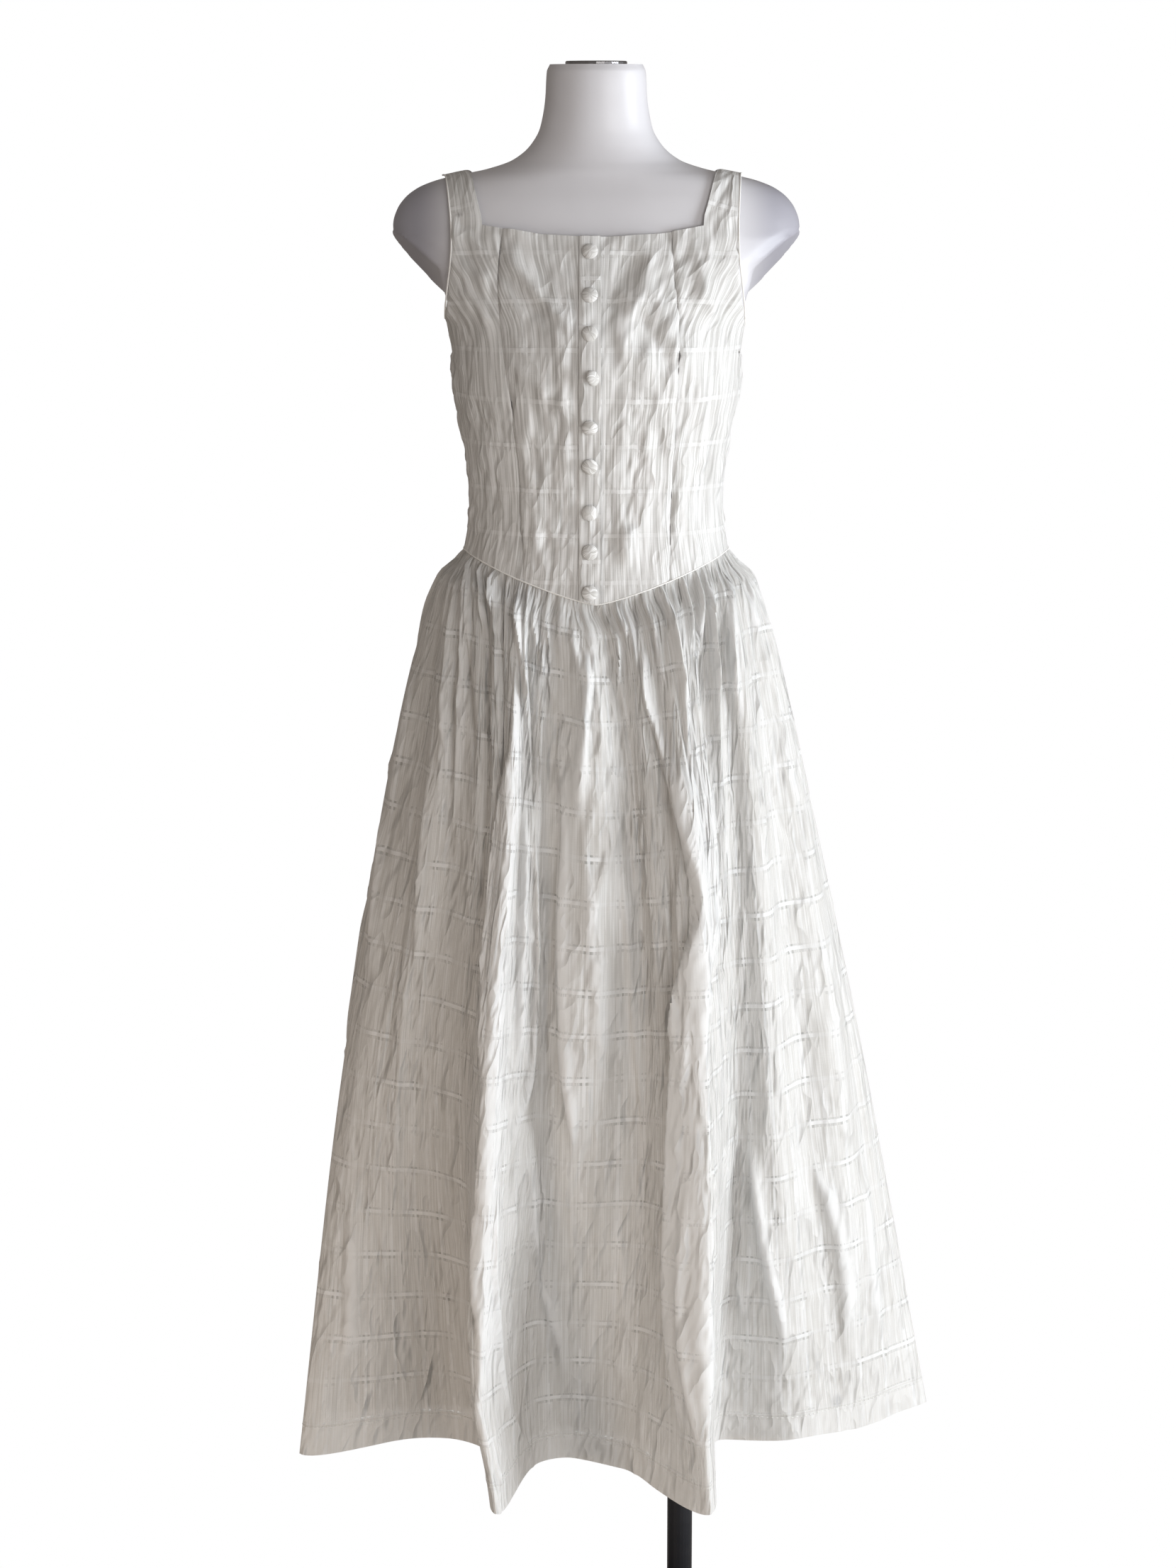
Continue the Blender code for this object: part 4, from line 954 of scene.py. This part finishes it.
def buildSkirtPanel(name, start, end, node, seed):
    columns, rows = skirt["columns"], skirt["rows"]
    pick = random.Random(seed)
    panelShare = np.arange(columns + 1) / columns
    at = mix(start, end, panelShare)
    tops = waistPoint(waistAngle(np.clip(at, 0, 0.999999)))
    downs = skirtDowns
    rings = [skirtRing(down, at, tops, panelShare) for down in downs]
    plan = np.array([ring[0] for ring in rings])
    along = np.array([ring[1] for ring in rings])
    height = mix(tops[None, :, 2], skirtHem, downs[:, None])
    width = stepLengths(plan[-1]).sum()
    cloth = panelShare[None] * width
    moved = np.zeros(height.shape)
    # gathers: a narrow ridge each, uneven in height and in how far down it runs
    for k in range(1, skirt["gathers"] * 2):
        centre = (k / 2 + pick.uniform(-skirt["uneven"], skirt["uneven"])) / skirt["gathers"]
        tall = skirt["ridgeHigh"] * pick.uniform(0.35, 1.0) * (1.0 if k % 2 == 0 else 0.65)
        reach = pick.choice(skirt["reaches"])
        drift, lean = pick.uniform(-skirt["drift"], skirt["drift"]), pick.uniform(0.6, 1.0)
        line = centre * width + drift * np.minimum(downs / 0.2, 1.5)[:, None]
        far = (cloth - line) / mix(*skirt["ridgeWide"], smoothStep(downs / 0.15))[:, None]
        far = np.where(far > 0, far * lean, far / lean)
        rise = smoothStep(downs / 0.007) * (1 - smoothStep((downs - reach * 0.45) / (reach * 0.55)))
        moved += tall * ridge(far, skirt["ridgePower"]) * rise[:, None]
    if node == "skirt_front":
        for ribbon in ribbons:
            lines = [lineShares(path, plan, height, panelShare) for path in (ribbon.left, ribbon.right)]
            shared = np.intersect1d(lines[0][0], lines[1][0])
            left, right = [share[np.isin(index, shared)][:, None] * width for index, share in lines]
            across = np.clip((cloth - left) / (right - left), 0, 1)
            shape = smoothStep((cloth - left) / ribbon.edge + 0.5) * (1 - 0.8 * smoothStep(across))
            shape = shape * (1 - smoothStep((cloth - right) / ribbon.edge + 0.5))
            part = (shared - shared[0]) / (shared[-1] - shared[0])
            moved[shared] += ribbon.high * shape * fadeEnds(part, 0.18)[:, None]
        for crease in skirtCreases:
            line = lineShares(crease.path, plan, height, panelShare)
            if line is None:
                continue
            index, share = line
            part = (index - index[0]) / max(1, index[-1] - index[0])
            far = (cloth - share[:, None] * width) / crease.wide
            # gentle to the right, steep to the left
            far = np.where(far > 0, far / pick.choice(skirt["slopes"]), far * skirt["steep"])
            tall = crease.high * skirt["creaseHigh"]
            moved[index] += tall * ridge(far, skirt["ridgePower"]) * fadeEnds(part, 0.30)[:, None]
        hidden = ((0.015, 0.16), (0.80, 0.985))
    else:
        hidden = ((0.015, 0.985),)
    # long soft ridges of the same kind on what the front view doesn't show
    for low, high in hidden:
        for _ in range(int((high - low) * 34)):
            first, last = sorted((pick.uniform(0.02, 0.9), pick.uniform(0.10, 1.0)))
            if last - first < 0.15:
                continue
            line = (pick.uniform(low, high) + pick.uniform(-0.02, 0.02) * (downs - first)) * width
            far = (cloth - line[:, None]) / pick.uniform(*skirt["softWide"])
            tall = pick.uniform(*skirt["softHigh"]) * pick.choice((1, 1, -0.7))
            moved += tall * ridge(far, 1.6) * fadeEnds((downs - first) / (last - first), 0.3)[:, None]
    # crumpled cotton
    drop = (downs * (waist["side"] - skirtHem))[:, None] + 0 * cloth
    box = ((0.0, width), (0.05, 0.90))
    small = scatter(seed + 5, skirt["crumple"], box, skirt["crumpleLong"], skirt["small"])
    moved += pressIn(cloth + 0 * drop, drop, small)
    moved *= smoothStep(np.minimum(panelShare, 1 - panelShare) * 60)[None]
    plan = plan + rightOf(along) * moved[..., None]
    # the hem's turned edge drops a little where the cloth is slack
    waves = np.sin(panelShare * 2 * math.pi * skirt["hemWaves"] + seed)
    ripple = skirt["ripple"] * waves * smoothStep((downs - 0.9) / 0.1)[:, None]
    points = np.concatenate([plan, (height + ripple)[..., None]], -1)
    down = np.concatenate([[0], np.cumsum(stepLengths(points).mean(axis=1))])
    uv = np.stack([cloth + 0 * height, (down - down[-1])[:, None] + 0 * height], -1)
    uv[..., 1] += skirt["hemTurn"]
    # the fold attribute, taken from how far the cloth was moved, drives the painted highlight on crests and the
    # painted shade in troughs
    piece = addCloth(name, points, gridFaces(rows, columns, flip=True), uv, skirt["thick"], skirtGauze,
                     np.clip(moved / skirt["sharpest"], -1, 1))
    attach(piece, "root")
    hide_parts(node)
    # the cut is flared: its top edge, before gathering, is 0.42 of its hem
    return points, plan


frontPoints, frontPlan = buildSkirtPanel("skirtFront", 0.0, seamShare, "skirt_front", 41)
backPoints, backPlan = buildSkirtPanel("skirtBack", seamShare, 1.0, "skirt_back", 43)
print("skirt made")

# ---- the lining, a smoother ring inside the skirt's folds ----
lining = {"share": 0.965, "rows": 46, "columns": 150, "inside": 0.0032, "clear": 0.0085,
          "margin": math.radians(2.8), "nowhere": 9.0, "thick": 0.0007, "allowance": 0.012, "cutShare": 0.72}


def buildLining(name, way, node):
    angles = math.pi * np.arange(lining["columns"] + 1) / lining["columns"] + (math.pi if way < 0 else 0)
    tops = waistPoint(angles)
    tops[:, :2] -= unit(tops[:, :2]) * lining["inside"]
    turns = np.arctan2(tops[:, 1] + way * 1e-6, tops[:, 0])
    half = np.abs(np.diff(np.unwrap(turns))).max()
    outline = np.concatenate([frontPlan, backPlan], axis=1)
    points = []
    for down in np.linspace(0, 1, lining["rows"] + 1) ** 1.12 * lining["share"]:
        k = min(int(np.searchsorted(skirtDowns, down)), skirt["rows"])
        ring = outline[max(k - 1, 0): k + 1].reshape(-1, 2)
        ringTurns, ringReach = np.arctan2(ring[:, 1], ring[:, 0]), np.linalg.norm(ring, axis=1)
        apart = np.abs(np.mod(turns[:, None] - ringTurns[None] + math.pi, 2 * math.pi) - math.pi)
        near = np.where(apart < half / 2 + lining["margin"], ringReach[None], lining["nowhere"]).min(axis=1)
        near -= mix(lining["inside"], lining["clear"], smoothStep(down / 0.06))
        radius = mix(np.linalg.norm(tops[:, :2], axis=1), near, smoothStep(down / 0.014))
        radius = np.convolve(np.pad(radius, 2, mode="edge"), np.array([1, 2, 3, 2, 1]) / 9, mode="valid")
        radius = np.minimum(radius, near + 0.002)
        place = np.stack([np.cos(turns) * radius, np.sin(turns) * radius], -1)
        place[0, 1] = place[-1, 1] = way * 0.6 * gap
        points.append(np.concatenate([place, mix(tops[:, 2], skirtHem, down)[:, None]], -1))
    points = np.array(points)
    wide, fall = stepLengths(points[-1]).sum(), stepLengths(points).mean(axis=1).sum()
    uv = np.stack(np.meshgrid(np.arange(lining["columns"] + 1) / lining["columns"] * wide,
                              np.arange(lining["rows"] + 1) / lining["rows"] * fall), -1)
    faces = gridFaces(lining["rows"], lining["columns"], flip=True)
    piece = addCloth(name, points, faces, uv, lining["thick"], liningCloth)
    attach(piece, "root")
    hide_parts(node)


buildLining("liningFront", -1, "lining_front")
buildLining("liningBack", 1, "lining_back")
print("lining made")

# ---- the dress form ----
formLook = {"columns": 132, "between": 5, "crease": 0.0011, "creaseWide": 0.0016}
shoulderCreases = (
    linePath(-198, 1505, -181, 1499, -165, 1492, -154, 1483, -146, 1472, -140, 1462, -136, 1450),
    linePath(199, 1504, 185, 1501, 173, 1494, 158, 1483, 148, 1471, 142, 1460, 138, 1446),
)


def buildForm():
    heights = []
    for low, high in zip(formSections, formSections[1:]):
        heights += [mix(low.height, high.height, k / formLook["between"]) for k in range(formLook["between"])]
    heights = np.array(heights + [formSections[-1].height])[:, None]
    angles = (2 * math.pi * np.arange(formLook["columns"]) / formLook["columns"])[None]
    angles, heights = np.broadcast_arrays(angles, heights)
    points, normals = formPoint(angles, heights), formNormal(angles, heights)
    groove = np.zeros(points.shape[:2])
    for path in shoulderCreases:
        far, share = nearLine(points[..., 0], points[..., 2], path)
        groove += ridge(far / formLook["creaseWide"]) * smoothStep((1 - share) / 0.2)
    points = points - normals * (groove * formLook["crease"])[..., None]
    rows, columns = len(heights) - 1, formLook["columns"]
    faces = ringFaces(rows, columns)
    faces.append(tuple(range(columns))[::-1])
    faces.append(tuple(rows * columns + k for k in range(columns)))
    piece = addPiece("formBody", points, faces, formPlastic)
    piece.data.shade_smooth()
    piece.data.set_sharp_from_angle(angle=math.radians(38))
    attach(piece, "root")
    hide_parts("dress_form")


buildForm()
for nodeName, finish in (("stand_base", standSteel), ("stand_pole", standSteel), ("stand_collar_low", standSteel),
                         ("stand_collar_high", standSteel), ("neck_cap", capSteel)):
    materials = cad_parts[nodeName].data.materials
    materials.clear()
    materials.append(finish)
print("form and stand dressed")


# ---- sewn edges and stitches, made along lines by geometry nodes ----
# a chain of nodes: each step's name, its kind, what its sockets are given (a name is a link), and its settings
def makeTree(name, inputs, steps):
    tree = bpy.data.node_groups.new(name, "GeometryNodeTree")
    tree.interface.new_socket("Geometry", in_out="INPUT", socket_type="NodeSocketGeometry")
    made = {}
    for key, kind in inputs.items():
        made[key] = tree.interface.new_socket(key, in_out="INPUT", socket_type="NodeSocket" + kind).identifier
    tree.interface.new_socket("Geometry", in_out="OUTPUT", socket_type="NodeSocketGeometry")
    start, end = tree.nodes.new("NodeGroupInput"), tree.nodes.new("NodeGroupOutput")
    sources = {key: start.outputs[key] for key in ("Geometry", *inputs)}
    for step, kind, sockets, settings in steps:
        node = tree.nodes.new(kind)
        for key, value in settings.items():
            setattr(node, key, value)
        for key, value in sockets.items():
            if isinstance(value, str):
                tree.links.new(sources[value], node.inputs[key])
            else:
                node.inputs[key].default_value = value
        sources[step] = node.outputs[0]
    tree.links.new(sources[step], end.inputs[0])
    return tree, made


# a round edge that follows a line
sewnEdge = makeTree("sewnEdge", {"Radius": "Float", "Finish": "Material"}, (
    ("curve", "GeometryNodeMeshToCurve", {0: "Geometry"}, {}),
    ("circle", "GeometryNodeCurvePrimitiveCircle", {"Resolution": 8, "Radius": "Radius"}, {}),
    ("tube", "GeometryNodeCurveToMesh", {0: "curve", 1: "circle", "Fill Caps": True}, {}),
    ("real", "GeometryNodeRealizeInstances", {0: "tube"}, {}),
    ("paint", "GeometryNodeSetMaterial", {0: "real", "Material": "Finish"}, {}),
))
# short rounded stitches, one every so far along a line
stitchRow = makeTree("stitchRow", {"Spacing": "Float", "Length": "Float", "Radius": "Float", "Finish": "Material"}, (
    ("curve", "GeometryNodeMeshToCurve", {0: "Geometry"}, {}),
    ("even", "GeometryNodeResampleCurve", {"Curve": "curve", "Length": "Spacing"}, {"mode": "LENGTH"}),
    ("tangent", "GeometryNodeInputTangent", {}, {}),
    ("turn", "FunctionNodeAlignRotationToVector", {"Vector": "tangent"}, {"axis": "Z"}),
    ("stitch", "GeometryNodeMeshCylinder", {"Vertices": 6, "Radius": "Radius", "Depth": "Length"}, {}),
    ("place", "GeometryNodeInstanceOnPoints", {"Points": "even", "Instance": "stitch", "Rotation": "turn"}, {}),
    ("real", "GeometryNodeRealizeInstances", {0: "place"}, {}),
    ("paint", "GeometryNodeSetMaterial", {0: "real", "Material": "Finish"}, {}),
))


def runTree(name, points, maker, values, closed=False):
    mesh = bpy.data.meshes.new(name)
    edges = [(i, i + 1) for i in range(len(points) - 1)] + ([(len(points) - 1, 0)] if closed else [])
    mesh.from_pydata([tuple(p) for p in points], edges, [])
    piece = addObject(name, mesh)
    tree, made = maker
    modifier = piece.modifiers.new("maker", "NODES")
    modifier.node_group = tree
    for key, value in values.items():
        modifier[made[key]] = value
    settle(piece)
    if not piece.data.polygons:
        raise RuntimeError(name + " came out empty")
    if not piece.data.materials:
        piece.data.materials.append(values["Finish"])
    piece.data.shade_smooth()
    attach(piece, "root")


edging = {"waist": 0.0007, "armhole": 0.0008, "clear": 0.0002, "steps": 360}


def buildEdges():
    around = waistPoint(np.linspace(0, 2 * math.pi, edging["steps"] + 1)[:-1])
    away = unit(np.concatenate([around[:, :2], np.zeros((edging["steps"], 1))], -1))
    runTree("waistSeam", around + away * 0.0004 + np.array([0, 0, 0.0008]), sewnEdge,
            {"Radius": edging["waist"], "Finish": seamThread}, closed=True)
    for side in sides:
        # armhole: from the shoulder down the front, round the underarm and up the back
        shareLine = np.linspace(side.underarmShare, 1, 40)
        heights = mix(waist["side"], strapFoot, shareLine)
        halves = []
        for back in (False, True):
            strapTurns, strapHeights = strapGrid(side, 2, back)
            turns = facing(side, armholeAngle(side, shareLine, back), back)
            halves.append((np.concatenate([turns, strapTurns[:, -1]]),
                           np.concatenate([heights, strapHeights[:, -1]])))
        (frontTurns, frontHeights), (backTurns, backHeights) = halves
        down = clothPoint(frontTurns[::-1], frontHeights[::-1], edging["clear"])
        up = clothPoint(backTurns[1:], backHeights[1:], edging["clear"])
        runTree("armholeEdge" + side.name.title(), np.concatenate([down, up]), sewnEdge,
                {"Radius": edging["armhole"], "Finish": seamThread})


buildEdges()


# the stitches that hold the turned hem, just outside the cloth
stitching = {"spacing": 0.0052, "length": 0.0026, "radius": 0.00022, "inside": 0.0015, "clear": 0.0006}


def buildHemStitches():
    for name, points in (("hemStitchesFront", frontPoints), ("hemStitchesBack", backPoints)):
        level = points[..., 2].mean(axis=1)
        drop = level[-1] + skirt["hemTurn"] - stitching["inside"]
        row = int(np.argmin(np.abs(level - drop)))
        row = row if level[row] > drop else row - 1
        upper, lower = points[row], points[row + 1]
        t = ((upper[:, 2] - drop) / (upper[:, 2] - lower[:, 2]))[:, None]
        line = mix(upper, lower, np.clip(t, 0, 1))
        along = unit(np.gradient(line, axis=0))
        out = np.stack([along[:, 1], -along[:, 0], 0 * along[:, 0]], -1)
        runTree(name, line[2:-2] + out[2:-2] * stitching["clear"], stitchRow,
                {"Spacing": stitching["spacing"], "Length": stitching["length"], "Radius": stitching["radius"],
                 "Finish": seamThread})


buildHemStitches()
print("edges and stitches made")

# ---- floor, lights and camera ----
studio = {"key": 114.0, "keyTint": (0.90, 0.95, 1.0), "fill": 0.25, "fillTint": (1.0, 0.925, 0.86),
          "front": 50.0, "frontTint": (1.0, 0.99, 0.985), "low": 1.4, "lowTint": (1.0, 0.84, 0.70),
          "floor": (0.66, 0.62, 0.58), "floorRadius": 30.0,
          "lens": 81.3, "sensor": 36.0, "cameraAt": (-0.008, -3.5, 1.62), "cameraDown": 10.8}


def buildStudio():
    floorMesh = bpy.data.meshes.new("floor")
    shape = bmesh.new()
    bmesh.ops.create_circle(shape, cap_ends=True, segments=96, radius=studio["floorRadius"])
    shape.to_mesh(floorMesh)
    shape.free()
    floor = addObject("floor", floorMesh)
    # white to the camera, as a cut-out picture is, and a plain dull floor to the light
    paint = Finish("floorPaint")
    paint.plug(paint.shader, {"Base Color": (*studio["floor"], 1), "Roughness": 0.9, "Specular IOR Level": 0.1})
    seen = paint.add("ShaderNodeLightPath", {}, {})
    white = paint.add("ShaderNodeEmission", {}, {"Color": (1, 1, 1, 1), "Strength": 1.0})
    shown = paint.add("ShaderNodeMixShader", {}, {0: seen, 1: Wire(paint, paint.shader.outputs[0]), 2: white})
    paint.plug(paint.output, {"Surface": shown})
    floorMesh.materials.append(paint.material)

    world = bpy.data.worlds.new("studio")
    bpy.context.scene.world = world
    world.use_nodes = True
    tree = world.node_tree
    backdrop, air = tree.nodes["Background"], tree.nodes.new("ShaderNodeBackground")
    path, chooser = tree.nodes.new("ShaderNodeLightPath"), tree.nodes.new("ShaderNodeMixShader")
    backdrop.inputs[0].default_value, backdrop.inputs[1].default_value = (1, 1, 1, 1), 1.0
    air.inputs[0].default_value, air.inputs[1].default_value = (*studio["fillTint"], 1), studio["fill"]
    tree.links.new(path.outputs["Is Camera Ray"], chooser.inputs[0])
    tree.links.new(air.outputs[0], chooser.inputs[1])
    tree.links.new(backdrop.outputs[0], chooser.inputs[2])
    tree.links.new(chooser.outputs[0], tree.nodes["World Output"].inputs[0])

    for name, place, aim, size, spread, power, tint in (
        ("keyWindow", (3.25, -1.05, 1.20), (0.0, -0.05, 1.0), (1.6, 1.6), 180, studio["key"], studio["keyTint"]),
        ("softFront", (1.6, -3.7, 1.4), (0.0, 0.0, 1.0), (1.9, 1.6), 180, studio["front"], studio["frontTint"]),
        ("lowWarm", (-2.1, -2.2, 0.35), (-0.15, 0.0, 0.42), (0.9, 0.6), 48, studio["low"], studio["lowTint"]),
    ):
        lamp = bpy.data.lights.new(name, "AREA")
        lamp.shape, lamp.size, lamp.size_y = "RECTANGLE", size[0], size[1]
        lamp.energy, lamp.color, lamp.spread = power, tint, math.radians(spread)
        holder = addObject(name, lamp)
        holder.location = place
        holder.rotation_euler = (Vector(aim) - Vector(place)).to_track_quat("-Z", "Y").to_euler()

    camera = bpy.data.cameras.new("photoCamera")
    camera.lens, camera.sensor_width, camera.clip_end = studio["lens"], studio["sensor"], 100.0
    holder = addObject("photoCamera", camera)
    holder.location = studio["cameraAt"]
    holder.rotation_euler = (math.radians(90 - studio["cameraDown"]), 0, 0)
    bpy.context.scene.camera = holder
    cycles = bpy.context.scene.cycles
    cycles.max_bounces, cycles.diffuse_bounces, cycles.transparent_max_bounces = 4, 3, 8
    cycles.adaptive_threshold = 0.03
    bpy.context.scene.view_settings.view_transform = "Standard"
    bpy.context.scene.view_settings.look = "None"


buildStudio()
print("studio made")
